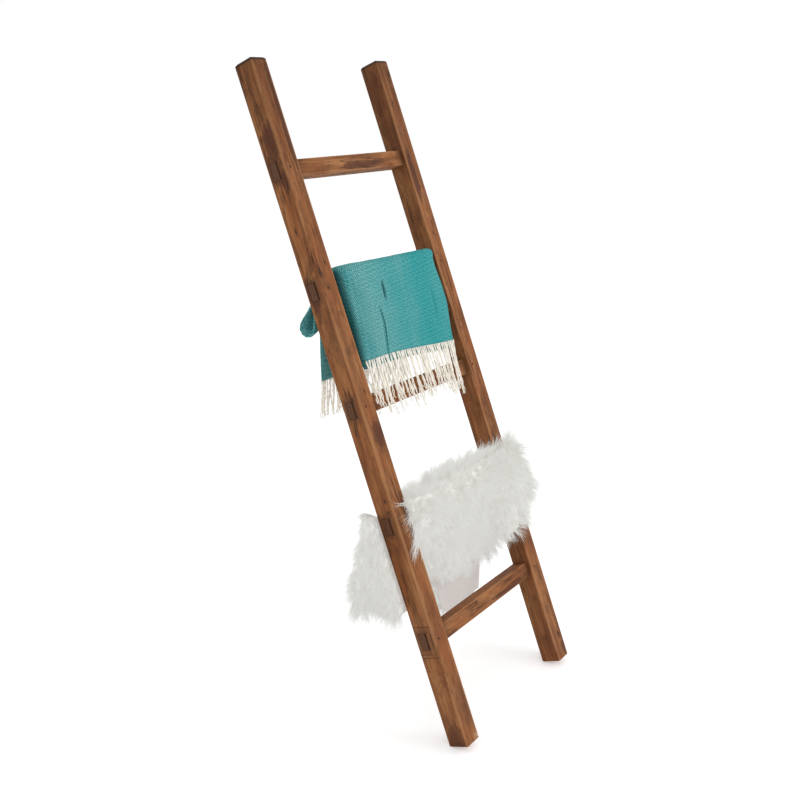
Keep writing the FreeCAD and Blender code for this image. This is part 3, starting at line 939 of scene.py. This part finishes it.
class Skin:
    """The skin as a grid: columns from the left flap's tip to the right leg's, rows from front to rear."""

    def __init__(self, look):
        self.look = look
        self.along = rung_middle("fourth_rung")
        self.top = self.along + RUNG_HALF
        self.top_z = leaned(RUNG_FRONT, self.top)[1]
        self.front_corner, self.back_corner = over_rung(self.along, look.skin_gap)
        shape = (FLAP_COLUMNS + BAND_COLUMNS + LEG_COLUMNS, FRONT_ROWS + REAR_ROWS - 1)
        self.places = np.zeros((*shape, 3))
        self.keep = np.ones(shape, bool)
        self.hang_band()
        self.hang_flap()
        self.hang_leg()

    def hang_band(self):
        """Over the rung: down its front, or onto the right rail's face, and plumb behind it."""
        crest = [(front + back) / 2 for front, back in zip(self.front_corner[:2], self.back_corner[:2])]
        behind = np.where(np.arange(FRONT_ROWS + REAR_ROWS - 1) < FRONT_ROWS, 1.0, 1.4)
        for index, x in enumerate(np.linspace(-SKIN_HALF, SKIN_HALF, BAND_COLUMNS)):
            front_drop = np.interp(x, SKIN_PLACES, SKIN_FRONTS)
            rear_drop = np.interp(x, SKIN_PLACES, SKIN_REARS)
            front_drop = front_drop * (1 + 0.05 * math.sin(x * 61) + 0.03 * math.sin(x * 140 + 1))
            rear_drop = rear_drop * (1 + 0.03 * math.sin(x * 88 + 2))
            on_leg = float(smooth(x, 120 * MM, 205 * MM))
            knee_depth = (RUNG_FRONT - self.look.skin_gap) * (1 - on_leg) - self.look.leg_gap * on_leg
            knee = leaned(knee_depth, self.along - RUNG_HALF * 0.6)
            plumb = (knee[0], self.top_z - front_drop)
            sloped = leaned(-self.look.leg_gap, self.top - front_drop / ALONG.z)
            end = [a * (1 - on_leg) + b * on_leg for a, b in zip(plumb, sloped)]
            front = rounded([(*end, 0), (*knee, 20 * MM), self.front_corner, (*crest, 0)])
            rear_end = (self.back_corner[0], self.top_z - rear_drop, 0)
            rear = rounded([(*crest, 0), self.back_corner, rear_end])
            whole = np.concatenate([walked(front, FRONT_ROWS)[0], walked(rear, REAR_ROWS)[0][1:]])
            low = np.clip((self.top_z - 60 * MM - whole[:, 1]) / (200 * MM), 0, 1)
            swing = self.look.skin_wave * low * math.sin(x * 26 + 0.6)
            column = self.places[FLAP_COLUMNS + index]
            column[:, 0] = x
            column[:, 1] = whole[:, 0] + swing * behind
            column[:, 2] = whole[:, 1]

    def hang_flap(self):
        """The left flap runs out behind the rail, turns round and hangs wool side out beside it."""
        seam = self.places[FLAP_COLUMNS]
        first_row = FRONT_ROWS + 7
        last_row = len(seam) - 1
        self.keep[:FLAP_COLUMNS, :first_row] = False
        share = np.arange(1, FLAP_COLUMNS + 1) / FLAP_COLUMNS
        tip_top = self.top_z - FLAP_TIP_TOP
        tip_low = seam[-1, 2] + FLAP_TIP_LOW
        for row in range(first_row, last_row + 1):
            part = (row - first_row) / (last_row - first_row)
            tip_z = tip_top + (tip_low - tip_top) * part
            rail_back = (BACK - tip_z * DEPTH.z) / DEPTH.y
            spread = 1.3 - 0.3 * float(smooth(part, 0, 0.35)) + 1.6 * float(smooth(part, 0.2, 0.7))
            path = rounded([
                (seam[row, 1], seam[row, 0], 0),
                (seam[row, 1], -SKIN_HALF - 12 * MM, 24 * MM),
                (self.back_corner[0] + self.look.flap_flare * spread, -HALF_WIDTH - 4 * MM, 20 * MM),
                (rail_back - self.look.flap_lap, -HALF_WIDTH - 6 * MM, 0),
            ])
            line = walked(path, FLAP_COLUMNS + 1)[0][1:]
            height = seam[row, 2] + (tip_z - seam[row, 2]) * smooth(share, 0, 0.8)
            height = height + 8 * MM * part * np.sin(share * 13)
            self.places[:FLAP_COLUMNS, row] = np.stack([line[:, 1], line[:, 0], height], axis=1)[::-1]

    def hang_leg(self):
        """The right leg lies in front of the right rail."""
        first_column = FLAP_COLUMNS + BAND_COLUMNS
        last_row = FRONT_ROWS - 3
        self.keep[first_column - 1:, last_row:] = False
        edge = self.places[first_column - 1]
        for step in range(LEG_COLUMNS):
            share = (step + 1) / LEG_COLUMNS
            out = (self.look.leg_reach - SKIN_HALF) * share
            under = LEG_BOTTOMS[0] * (1 - share) + LEG_BOTTOMS[1] * share - 52 * MM * (1 - share) * share
            over = LEG_TOPS[0] * (1 - share) + LEG_TOPS[1] * share + 18 * MM * math.sin(share * 3)
            low = leaned(-self.look.leg_gap, self.along - under)
            high = leaned(-self.look.leg_gap, self.along + over)
            blend = float(smooth(share, 0, 0.35))
            for row in range(last_row + 1):
                part = row / last_row
                laid = [a + (b - a) * part for a, b in zip(low, high)]
                beside = edge[row] + np.array([out, 0, 0])
                place = beside * (1 - blend) + np.array([SKIN_HALF + out, *laid]) * blend
                place[1] -= 6 * MM * share * (0.5 + 0.5 * math.sin(part * 4 + 1))
                self.places[first_column + step, row] = place

    def roots(self, count, rng):
        """Spread roots on the skin, denser at its crest, with the direction that the skin faces there."""
        column, row = np.argwhere(self.keep[:-1, :-1]).T
        corner = self.places[column, row]
        over = self.places[column + 1, row]
        up = self.places[column, row + 1]
        far = self.places[column + 1, row + 1]
        facing = np.cross(over - corner, up - corner)
        areas = np.linalg.norm(facing, axis=1)
        crest = corner[:, 2].max()
        share = areas * (1 + 2.2 * smooth(corner[:, 2], crest - 22 * MM, crest - 8 * MM))
        chosen = rng.choice(len(column), count, p=share / share.sum())
        u = rng.uniform(size=(count, 1))
        v = rng.uniform(size=(count, 1))
        corner, over, up, far = (places[chosen] for places in (corner, over, up, far))
        roots = corner * (1 - u) * (1 - v) + over * u * (1 - v) + up * (1 - u) * v + far * u * v
        return roots, facing[chosen] / areas[chosen][:, None]

    def outward(self, roots, facing):
        """The direction towards the skin's nearest edge, stronger near it."""
        solid = self.keep[:-1, :-1].astype(int)
        shared = sum(np.pad(solid, pad) for pad in (
            ((0, 1), (0, 1)), ((1, 0), (0, 1)), ((0, 1), (1, 0)), ((1, 0), (1, 0))
        ))
        rim = np.argwhere((shared > 0) & (shared < 4))
        tree = KDTree(len(rim))
        for index, (column, row) in enumerate(rim):
            tree.insert(Vector(self.places[column, row]), index)
        tree.balance()
        outward = np.zeros(roots.shape)
        for index, root in enumerate(roots):
            edge, _, distance = tree.find(Vector(root))
            pull = np.array(edge) - root
            pull -= facing[index] * pull.dot(facing[index])
            size = np.linalg.norm(pull)
            if size > 1e-6:
                outward[index] = pull / size * math.exp(-distance / (22 * MM))
        return outward


def skin_sheet(look, skin):
    piece = grid_piece("sheepskin_skin", skin.places, skin.keep)
    apply_modifier(piece, "SUBSURF", levels=1, render_levels=1)
    apply_modifier(piece, "SOLIDIFY", thickness=look.skin_thickness, offset=0.0)
    smooth_shade(piece)
    return piece


def push_out(piece, heights):
    """Move every point along its normal, by heights worked out from the points."""
    vertices = piece.data.vertices
    points = read(vertices, "co", 3)
    normals = np.array([normal.vector[:] for normal in piece.data.vertex_normals])
    vertices.foreach_set("co", (points + normals * heights(points)[:, None]).ravel())
    piece.data.update()


def wool_clumps(points):
    """Heights of the clumps in the dense wool."""
    coarse = [noise.noise(Vector(point) / (16 * MM)) for point in points]
    fine = [noise.noise(Vector(point) / (6 * MM)) for point in points]
    return (4.5 * np.array(coarse) + 2.0 * np.array(fine)) * MM


def under_wool(look, skin):
    """The dense wool next to the skin, as a thick clumped layer."""
    piece = grid_piece("fleece_under_wool", skin.places, skin.keep)
    apply_modifier(piece, "SUBSURF", levels=1, render_levels=1)
    push_out(piece, lambda points: np.full(len(points), look.skin_thickness))
    apply_modifier(piece, "SOLIDIFY", thickness=look.under_wool, offset=1.0)
    push_out(piece, wool_clumps)
    smooth_shade(piece)
    return piece


def fleece_lines(look, skin):
    """The centre lines of all wool strands, lock by lock."""
    rng = np.random.default_rng(look.seed)
    locks = look.locks
    each = look.strands
    roots, facing = skin.roots(locks, rng)
    outward = skin.outward(roots, facing)
    in_band = roots[:, 0] > -PAST_BAND

    # Near the crest the wool is combed forward, and elsewhere it hangs.
    low_edge = skin.top_z - 32 * MM - 23 * MM * smooth(facing[:, 1], -0.5, -0.1)
    combed = (smooth(roots[:, 2], low_edge, low_edge + 40 * MM) * in_band)[:, None]
    pull = DOWN + (np.array([0.0, -0.8, 0.5]) - DOWN) * combed
    drift = pull - facing * (facing * pull).sum(axis=1)[:, None]
    swirl = [sheet_noise(roots[:, 0], roots[:, 2], 70 * MM, seed) for seed in (1.5, 7.5, 4.5)]
    swirl = np.stack(swirl, axis=1)
    swirl += rng.normal(0, 0.12, swirl.shape)
    swirl *= 1 + 0.8 * combed

    # A lock starts in its stiff direction, away from the skin, and ends in its limp one.
    stiff = 0.80 * facing + 0.9 * outward + 0.55 * swirl + (0.25 + 0.35 * combed) * drift
    limp = 0.34 * facing + 0.8 * outward + 0.55 * swirl + 1.0 * drift

    # Beside the left rail the front wool leans over it.
    near_rail = bell(roots[:, 0] + SKIN_HALF, 36 * MM) * in_band * (facing[:, 1] < 0.3)
    lap = (near_rail * (1 - smooth(skin.top_z - roots[:, 2], 55 * MM, 100 * MM)))[:, None]
    stiff = unit(stiff + lap * np.array([-0.7 * look.lap, -0.6, 0.0]))
    limp = unit(limp + lap * np.array([-look.lap, -0.2, -0.5]))
    length = look.pile * rng.uniform(0.7, 1.15, (locks, 1)) * (1 + 0.75 * lap + 0.25 * combed)
    phase = rng.uniform(0, 2 * math.pi, (locks, 1))
    waves = rng.uniform(1.0, 2.1, (locks, 1))
    sway = unit(np.cross(stiff, rng.normal(size=(locks, 3))))
    roll = np.cross(stiff, sway)

    # Its middle line bends from the one to the other, and curls.
    share = np.linspace(0.0, 1.0, look.rings)[:, None]
    bent = stiff[:, None] * (share - share**2 / 2) + limp[:, None] * (share**2 / 2)
    centre = roots[:, None] + facing[:, None] * look.under_wool * 0.55 + bent * length[..., None]
    angle = (phase + 2 * math.pi * waves * share.T)[..., None]
    curled = np.sin(angle) * sway[:, None] + 0.6 * np.cos(angle) * roll[:, None]
    centre = centre + look.curl * (0.25 + share) * curled

    # Its strands spread at the root, gather, and fray at the tip.
    spread = rng.normal(0, look.lock_radius, (locks, each, 1, 2))
    fray = rng.normal(0, 1.0, (locks, each, 1, 3)) * share**2 * 5.0 * MM
    offset = spread[..., :1] * sway[:, None, None] + spread[..., 1:] * roll[:, None, None]
    stretch = rng.uniform(0.82, 1.12, (locks, each, 1, 1))
    base = roots[:, None, None]
    lines = base + (centre[:, None] - base) * stretch + offset * (1 - 0.62 * share) + fray
    tones = np.repeat(rng.uniform(size=locks), each) * 0.7 + rng.uniform(size=locks * each) * 0.3
    home = np.repeat(roots[:, 0], each)
    return clear_of_rails(lines.reshape(-1, look.rings, 3), home), tones, home


def clear_of_rails(lines, home):
    """Let front wool lap over the left rail, and keep the rest between the rails or behind its rail."""
    x = lines[..., 0]
    depth = lines[..., 1] * DEPTH.y + lines[..., 2] * DEPTH.z - FRONT
    in_front = -3 * MM
    limit = CLEAR_HALF - 1 * MM
    between = (abs(home) < PAST_BAND)[:, None]
    from_front = (depth[:, :1] < RUNG_FRONT + 10 * MM) & (home < 0)[:, None]
    over = between & from_front & (x < -limit) & (depth > in_front)
    lift = np.where(over, in_front - depth, 0.0)
    beside = (depth > -1 * MM) & (depth < RAIL_DEPTH + 1 * MM)
    lines[..., 0] = np.where(beside & between & ~over, np.clip(x, -limit, limit), x)
    lines = lines + lift[..., None] * np.array(DEPTH)

    # Past the rail's outer side, the flap's wool stops at the viewer's line along the rail's back corner.
    behind = (home < -PAST_BAND)[:, None]
    outside = lines[..., 0] < -HALF_WIDTH
    corner_y = (BACK - lines[..., 2] * DEPTH.z) / DEPTH.y
    past = (lines[..., 0] + HALF_WIDTH) * BESIDE_VIEW.x + (lines[..., 1] - corner_y) * BESIDE_VIEW.y
    aside = np.where(behind & outside, np.maximum(2 * MM - past, 0.0), 0.0)
    inner = np.where(behind & ~outside, np.maximum(RAIL_DEPTH + 2 * MM - depth, 0.0), 0.0)
    return lines + aside[..., None] * np.array(BESIDE_VIEW) + inner[..., None] * np.array(DEPTH)


def fleece(look, skin):
    lines, tones, home = fleece_lines(look, skin)
    form = strand_form(3, look.rings)
    taper = 1 - 0.88 * np.linspace(0.0, 1.0, look.rings)[None] ** 1.6
    rng = np.random.default_rng(look.seed + 1)
    width = look.strand_radius * rng.uniform(0.7, 1.3, (len(lines), 1)) * taper
    return [
        threads(f"fleece_locks_{index}", form, lines[part], width[part], tones[part])
        for index, part in enumerate(np.array_split(np.argsort(home), look.parts), 1)
    ]


def wool_surface(paint, colour, look, **more):
    """White wool with a little painted glow that brightens it."""
    return paint.surface(
        Base_Color=colour,
        Roughness=0.9,
        Specular_IOR_Level=0.1,
        # Painted glow: the wool gives off a little light of its own to look brighter.
        Emission_Color=(1.0, 0.995, 0.97),
        Emission_Strength=look.wool_glow,
        **more,
    )


def fleece_finish(look):
    paint = Paint("fleece")
    shade, height = paint.parts("UV", (0, 1))
    colour = paint.mix(height.step(0.0, 0.75), look.wool_root, look.wool_tip)
    return wool_surface(paint, colour.coat(shade * 0.35, look.wool_shade), look)


def under_wool_finish(look):
    paint = Paint("under_wool")
    x, y, z = paint.parts("Object")
    hairs = paint.noise((x * 700, y * 700, z * 180), 3.0, 0.6)
    clumps = paint.noise((x * 70, y * 70, z * 45), 2.0, 0.5)
    colour = paint.mix(clumps.step(0.35, 0.65), look.wool_root, look.wool_tip)
    colour = colour.coat(hairs.step(0.55, 0.35) * 0.4, look.wool_shade)
    return wool_surface(paint, colour, look, Normal=paint.bump(hairs, 0.7, 1.2 * MM))


def skin_finish(look):
    paint = Paint("suede")
    x, y, z = paint.parts("Object")
    cloud = paint.noise((x * 22, y * 22, z * 22), 3.0, 0.6)
    nap = paint.noise((x * 900, y * 900, z * 900), 2.0, 0.6)
    return paint.surface(
        Base_Color=paint.mix(cloud.step(0.3, 0.7), look.skin_pink, look.skin_grey),
        Roughness=0.85,
        Sheen_Weight=0.2,
        Normal=paint.bump(nap + cloud, 0.3, 0.6 * MM),
    )


# ---- Stage ----


def seen_directly(paint):
    """1 on rays that the viewer sees straight, in a mirror or through glass."""
    rays = ("Is Camera Ray", "Is Glossy Ray", "Is Transmission Ray")
    camera, glossy, transmission = (paint.node("LightPath", output=ray) for ray in rays)
    return camera.highest(glossy).highest(transmission)


def make_floor(look):
    bpy.ops.object.select_all(action="DESELECT")
    bpy.ops.mesh.primitive_plane_add(size=look.floor_size)
    floor = bpy.context.object
    floor.name = "floor"
    paint = Paint("floor")
    matt = paint.node("BsdfDiffuse", None, {"Color": look.floor})
    glow = paint.node("Emission", None, {"Strength": seen_directly(paint) * look.floor_glow})
    dress(floor, paint.end(paint.node("AddShader", None, {0: matt, 1: glow})))


def make_sky(look):
    paint = Paint("studio", "World")
    strength = seen_directly(paint) * (1.0 - look.sky) + look.sky
    light = paint.node("Background", None, {"Color": (1, 1, 1), "Strength": strength})
    bpy.context.scene.world = paint.end(light)


def make_key(look):
    lamp = bpy.data.lights.new("key", "AREA")
    lamp.energy = look.key
    lamp.size = look.key_size
    key = added("key", lamp)
    key.location = look.key_place
    middle = (model_box[0] + model_box[1]) / 2
    key.rotation_euler = (middle - key.location).to_track_quat("-Z", "Y").to_euler()


def make_camera(look):
    view = bpy.data.cameras.new("camera")
    view.lens = look.lens
    view.sensor_width = 36.0
    camera = added("camera", view)
    camera.location = look.camera_place
    camera.rotation_euler = (math.pi / 2 - look.dip, 0.0, -look.heading)
    bpy.context.scene.camera = camera
    bpy.context.scene.view_settings.view_transform = "Standard"


# ---- Settings that a user would change ----


def setting(kind, name, description, default, **limits):
    return kind(name=name, description=description, default=default, **limits)


def a_colour(name, description, *value):
    return setting(FloatVectorProperty, name, description, value, subtype="COLOR", min=0, max=1)


def a_place(name, description, *value):
    return setting(FloatVectorProperty, name, description, value, subtype="XYZ", unit="LENGTH")


def a_length(name, description, value):
    return setting(FloatProperty, name, description, value, subtype="DISTANCE", unit="LENGTH")


def an_angle(name, description, degrees):
    return setting(FloatProperty, name, description, math.radians(degrees), subtype="ANGLE")


def a_number(name, description, value):
    return setting(FloatProperty, name, description, value, min=0)


def a_count(name, description, value):
    return setting(IntProperty, name, description, value, min=1)


class TimberLook(bpy.types.PropertyGroup):
    pale_wood: a_colour("Pale wood", "The lightest early wood", 0.42, 0.178, 0.066)
    red_wood: a_colour("Red wood", "The wood's middle tone", 0.33, 0.112, 0.036)
    dark_wood: a_colour("Dark wood", "Growth lines and old stains", 0.105, 0.042, 0.018)
    knot_wood: a_colour("Knot wood", "Hearts of knots, checks and seams", 0.030, 0.013, 0.007)
    # Tint of the painted shade on the rails' sides.
    flank_shade_tint: a_colour("Flank wood", "Tint of the rails' weathered sides", 0.95, 0.94, 0.88)
    rubbed_wood: a_colour("Rubbed wood", "Corners rubbed pale", 0.50, 0.235, 0.105)
    # Tint of the painted shade on the rails' inner sides, and of the darker upper part of the rails.
    inner_shade_and_top_tint: a_colour("End wood", "Tint of the weathered upper ends", 0.30, 0.24, 0.17)
    end_grain: a_colour("End grain", "Tenon ends", 0.17, 0.078, 0.040)
    chipped_wood: a_colour("Chipped wood", "Fresh chips at the foot", 0.72, 0.60, 0.48)
    stained_wood: a_colour("Stained wood", "Reddish stains", 0.090, 0.030, 0.017)
    # Strength of the painted shade on the rails' sides.
    flank_shade: a_number("Flank shade", "How weathered the sides are", 0.75)
    # Strength of the painted shade on the rails' inner sides.
    inner_shade: a_number("Inner shade", "How dark the rails' inner sides are", 0.30)
    top_shade: a_number("Top shade", "How dark the rails' tops are", 0.42)
    # The wedges' darkness is partly painted shade of the slot beside each tenon.
    wedge_shade: a_number("Wedge shade", "How dark the wedges and pins are", 0.86)
    patch_shade: a_number("Patch shade", "How dark the let-in patch is", 0.22)


class ThrowLook(bpy.types.PropertyGroup):
    width: a_length("Folded width", "Width of the folded throw", 0.424)
    stack: a_length("Stack", "Thickness of one folded pass", 0.009)
    layer_pitch: a_length("Layer pitch", "From one layer to the next in a pass", 0.0025)
    pass_pitch: a_length("Pass pitch", "From one pass to the next", 0.0095)
    rung_clearance: a_length("Rung clearance", "Gap between rung and cloth", 0.0004)
    cloth_thickness: a_length("Cloth thickness", "Thickness of the cloth", 0.0012)
    front_drop: a_length("Front drop", "From the rung's top to the front hem", 0.259)
    hem_setback: a_length("Hem setback", "The front hem's depth behind the rails' faces", 0.005)
    inner_drop: a_length("Inner drop", "From the rung's top to the hidden turn", 0.116)
    knee_gap: a_length("Knee gap", "Room below the hidden turn", 0.010)
    knee_radius: a_length("Knee radius", "How softly the front panel turns in", 0.096)
    loop_drop: a_length("Loop drop", "From the outer corner to the rear loop's bottom", 0.132)
    loop_spread: a_length("Loop spread", "How far the rear loop stands out", 0.012)
    loop_reach: a_length("Loop reach", "How far the rear loop reaches past the left edge", 0.030)
    rear_drop: a_length("Rear drop", "From the inner corner to the rear hem", 0.256)
    loop_sag: a_length("Loop sag", "How much lower the rear loop's left end hangs", 0.006)
    loop_swell: a_length("Loop swell", "How much the rear loop's left end opens", 0.013)
    right_taper: a_length("Right taper", "How much the front panel narrows at its hem", 0.030)
    hem_rise: a_length("Hem rise", "How much higher the hem's left end is", 0.022)
    hem_stagger: a_length("Hem stagger", "How much higher the outer layer's hem is", 0.020)
    edge_roll: a_length("Edge roll", "Radius of the front panel's left edge", 0.028)
    under_short: a_length("Under passes", "How much narrower the under passes are", 0.060)
    right_sink: a_length("Right sink", "How much thinner the stack is at its right", 0.005)
    shoulder_sink: a_length("Shoulder sink", "How far the top's right end sinks", 0.006)
    shoulder_run: a_length("Shoulder run", "Over what width the top's right end sinks", 0.026)
    weave: a_length("Weave", "Height of one herringbone row", 0.0060)
    chevron: a_length("Chevron", "Half width of the herringbone", 0.0085)
    twill: a_length("Twill", "Height of one twill stripe beside the left fold", 0.0062)
    # Also how far from the left fold the painted shade reaches.
    twill_and_shade_run: a_length("Twill run", "How far from the left fold the twill shows", 0.11)
    teal: a_colour("Teal", "The cloth's main colour", 0.030, 0.385, 0.390)
    pale: a_colour("Pale", "The pale threads", 0.40, 0.62, 0.60)
    deep: a_colour("Deep", "Between the threads", 0.0, 0.16, 0.18)
    # Colour of the painted shade in the left fold and along the creases.
    fold_and_crease_shade: a_colour("Selvedge", "The dark left fold and the creases", 0.0, 0.030, 0.034)
    tassels: a_count("Tassels", "Knotted threads along each hem", 68)
    front_tassel: a_length("Front tassel", "Length of the front fringe", 0.130)
    rear_tassel: a_length("Rear tassel", "Length of the rear fringe", 0.100)
    yarn_radius: a_length("Yarn radius", "Half the thickness of a yarn", 0.0017)
    yarn: a_colour("Yarn", "The fringe's colour", 0.92, 0.89, 0.81)
    yarn_shade: a_colour("Yarn shade", "The fringe's darker turns", 0.66, 0.60, 0.50)
    # Strength of the yarn's painted glow.
    yarn_glow: a_number("Yarn glow", "Light scattered inside the yarn", 0.16)


class SheepskinLook(bpy.types.PropertyGroup):
    skin_gap: a_length("Skin gap", "From the rung to the middle of the skin", 0.0024)
    leg_gap: a_length("Leg gap", "From the rail's face to the middle of the skin's leg", 0.0028)
    skin_thickness: a_length("Skin thickness", "Thickness of the skin", 0.003)
    skin_wave: a_length("Skin wave", "How far the hanging skin waves", 0.007)
    flap_flare: a_length("Flap flare", "How far the left flap runs back", 0.060)
    flap_lap: a_length("Flap lap", "How far the left flap's edge comes past the rail's back", 0.005)
    lap: a_number("Lap", "How far the front wool leans over the left rail", 1.9)
    leg_reach: a_length("Leg reach", "Where the right leg ends", 0.302)
    under_wool: a_length("Under wool", "Depth of the dense wool", 0.018)
    pile: a_length("Pile", "Length of a lock beyond the dense wool", 0.046)
    curl: a_length("Curl", "How far a lock waves", 0.0028)
    lock_radius: a_length("Lock radius", "Half the width of a lock at its root", 0.0034)
    strand_radius: a_length("Strand radius", "Half the thickness of a strand", 0.00062)
    locks: a_count("Locks", "Number of locks", 7600)
    strands: a_count("Strands", "Strands in a lock", 7)
    rings: a_count("Rings", "Places along a strand where it bends, three at least", 5)
    parts: a_count("Parts", "Pieces that the locks are joined into", 8)
    seed: a_count("Seed", "Which arrangement of locks", 11)
    wool_tip: a_colour("Wool tip", "Ends of the locks", 0.72, 0.72, 0.695)
    wool_root: a_colour("Wool root", "Roots of the locks", 0.56, 0.545, 0.50)
    wool_shade: a_colour("Wool shade", "The darker locks", 0.54, 0.535, 0.51)
    # Strength of the wool's painted glow.
    wool_glow: a_number("Wool glow", "Light scattered inside the wool", 0.25)
    skin_pink: a_colour("Skin pink", "The flesh side's warm tone", 0.93, 0.875, 0.84)
    skin_grey: a_colour("Skin grey", "The flesh side's cool tone", 0.89, 0.86, 0.84)


class StageLook(bpy.types.PropertyGroup):
    floor: a_colour("Floor", "The floor's colour", 0.90, 0.90, 0.90)
    floor_size: a_length("Floor size", "Side of the floor", 14.0)
    floor_glow: a_number("Floor glow", "What the camera adds to the floor", 0.33)
    sky: a_number("Sky", "Strength of the even light", 0.86)
    key: a_number("Key", "Watts of the large lamp", 27.0)
    key_place: a_place("Key place", "Where the large lamp stands", 1.5, -3.2, 2.7)
    key_size: a_length("Key size", "Side of the large lamp", 1.8)
    camera_place: a_place("Camera place", "The viewer's eye", -2.1217, -1.4735, 1.5824)
    heading: an_angle("Heading", "From +Y towards +X", 54.233)
    dip: an_angle("Dip", "How far the view looks down", 17.093)
    lens: a_number("Lens", "Focal length in millimetres", 46.04)


# ---- Operators ----


class LADDER_OT_timber(bpy.types.Operator):
    """Finish the rails, rungs, wedges, pins and the patch"""

    bl_idname = "blanket_ladder.timber"
    bl_label = "Timber"

    def execute(self, context):
        look = context.scene.ladder_timber
        for name in ("left_rail", "right_rail"):
            dress(nodes[name], rail_finish(name, look))
        for name in RUNGS:
            dress(nodes[name], rung_finish(name, look))
        # Partly painted shade: the wedges are darkened to read as the shaded slot beside each tenon, and the
        # pins share their dark finish.
        dark = small_timber_finish("wedge_timber", look, look.wedge_shade)
        for name in ("left_tenon_wedges", "right_tenon_wedges", "left_joint_pins", "right_joint_pins"):
            dress(nodes[name], dark)
        dress(nodes["left_rail_patch"], small_timber_finish("patch_timber", look, look.patch_shade))
        return {"FINISHED"}


class LADDER_OT_throw(bpy.types.Operator):
    """Make the folded throw and its two fringes"""

    bl_idname = "blanket_ladder.throw"
    bl_label = "Throw"

    def execute(self, context):
        look = context.scene.ladder_throw
        cloth, (front_hem, rear_hem), flat = throw_sheet(look)
        dress(cloth, throw_finish(look))
        yarn = yarn_finish(look)
        down_rails = -np.array(ALONG)
        front = tassels("throw_front_tassels", front_hem, down_rails, look.front_tassel, look, seed=21)
        rear = tassels("throw_rear_tassels", rear_hem, DOWN, look.rear_tassel, look, seed=22)
        for piece, node in ((cloth, "throw"), (front, "throw_front_fringe"), (rear, "throw_rear_fringe")):
            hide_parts(node)
            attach(piece, "root")
        for piece in (front, rear):
            dress(piece, yarn)
        return {"FINISHED"}


class LADDER_OT_sheepskin(bpy.types.Operator):
    """Make the skin and its wool"""

    bl_idname = "blanket_ladder.sheepskin"
    bl_label = "Sheepskin"

    def execute(self, context):
        look = context.scene.ladder_sheepskin
        skin = Skin(look)
        hide = skin_sheet(look, skin)
        dress(hide, skin_finish(look))
        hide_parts("sheepskin_hide")
        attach(hide, "root")
        under = under_wool(look, skin)
        dress(under, under_wool_finish(look))
        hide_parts("sheepskin_wool")
        wool = fleece_finish(look)
        locks = fleece(look, skin)
        for piece in locks:
            dress(piece, wool)
        for piece in (under, *locks):
            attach(piece, "root")
        return {"FINISHED"}


class LADDER_OT_stage(bpy.types.Operator):
    """Make the floor, the light and the camera"""

    bl_idname = "blanket_ladder.stage"
    bl_label = "Stage"

    def execute(self, context):
        look = context.scene.ladder_stage
        make_floor(look)
        make_sky(look)
        make_key(look)
        make_camera(look)
        return {"FINISHED"}


class LADDER_PT_panel(bpy.types.Panel):
    """Lists the steps that make the ladder's looks"""

    bl_label = "Blanket Ladder"
    bl_idname = "LADDER_PT_panel"
    bl_space_type = "VIEW_3D"
    bl_region_type = "UI"
    bl_category = "Ladder"

    def draw(self, context):
        for operator in OPERATORS:
            self.layout.operator(operator.bl_idname)


LOOKS = {
    "ladder_timber": TimberLook,
    "ladder_throw": ThrowLook,
    "ladder_sheepskin": SheepskinLook,
    "ladder_stage": StageLook,
}
OPERATORS = (LADDER_OT_timber, LADDER_OT_throw, LADDER_OT_sheepskin, LADDER_OT_stage)


def register():
    for name, look in LOOKS.items():
        bpy.utils.register_class(look)
        setattr(bpy.types.Scene, name, PointerProperty(type=look))
    for operator in (*OPERATORS, LADDER_PT_panel):
        bpy.utils.register_class(operator)


def unregister():
    for operator in reversed((*OPERATORS, LADDER_PT_panel)):
        bpy.utils.unregister_class(operator)
    for name, look in reversed(LOOKS.items()):
        delattr(bpy.types.Scene, name)
        bpy.utils.unregister_class(look)


def main():
    register()
    bpy.ops.blanket_ladder.stage()
    bpy.ops.blanket_ladder.timber()
    bpy.ops.blanket_ladder.throw()
    bpy.ops.blanket_ladder.sheepskin()


if __name__ == "__main__":
    main()
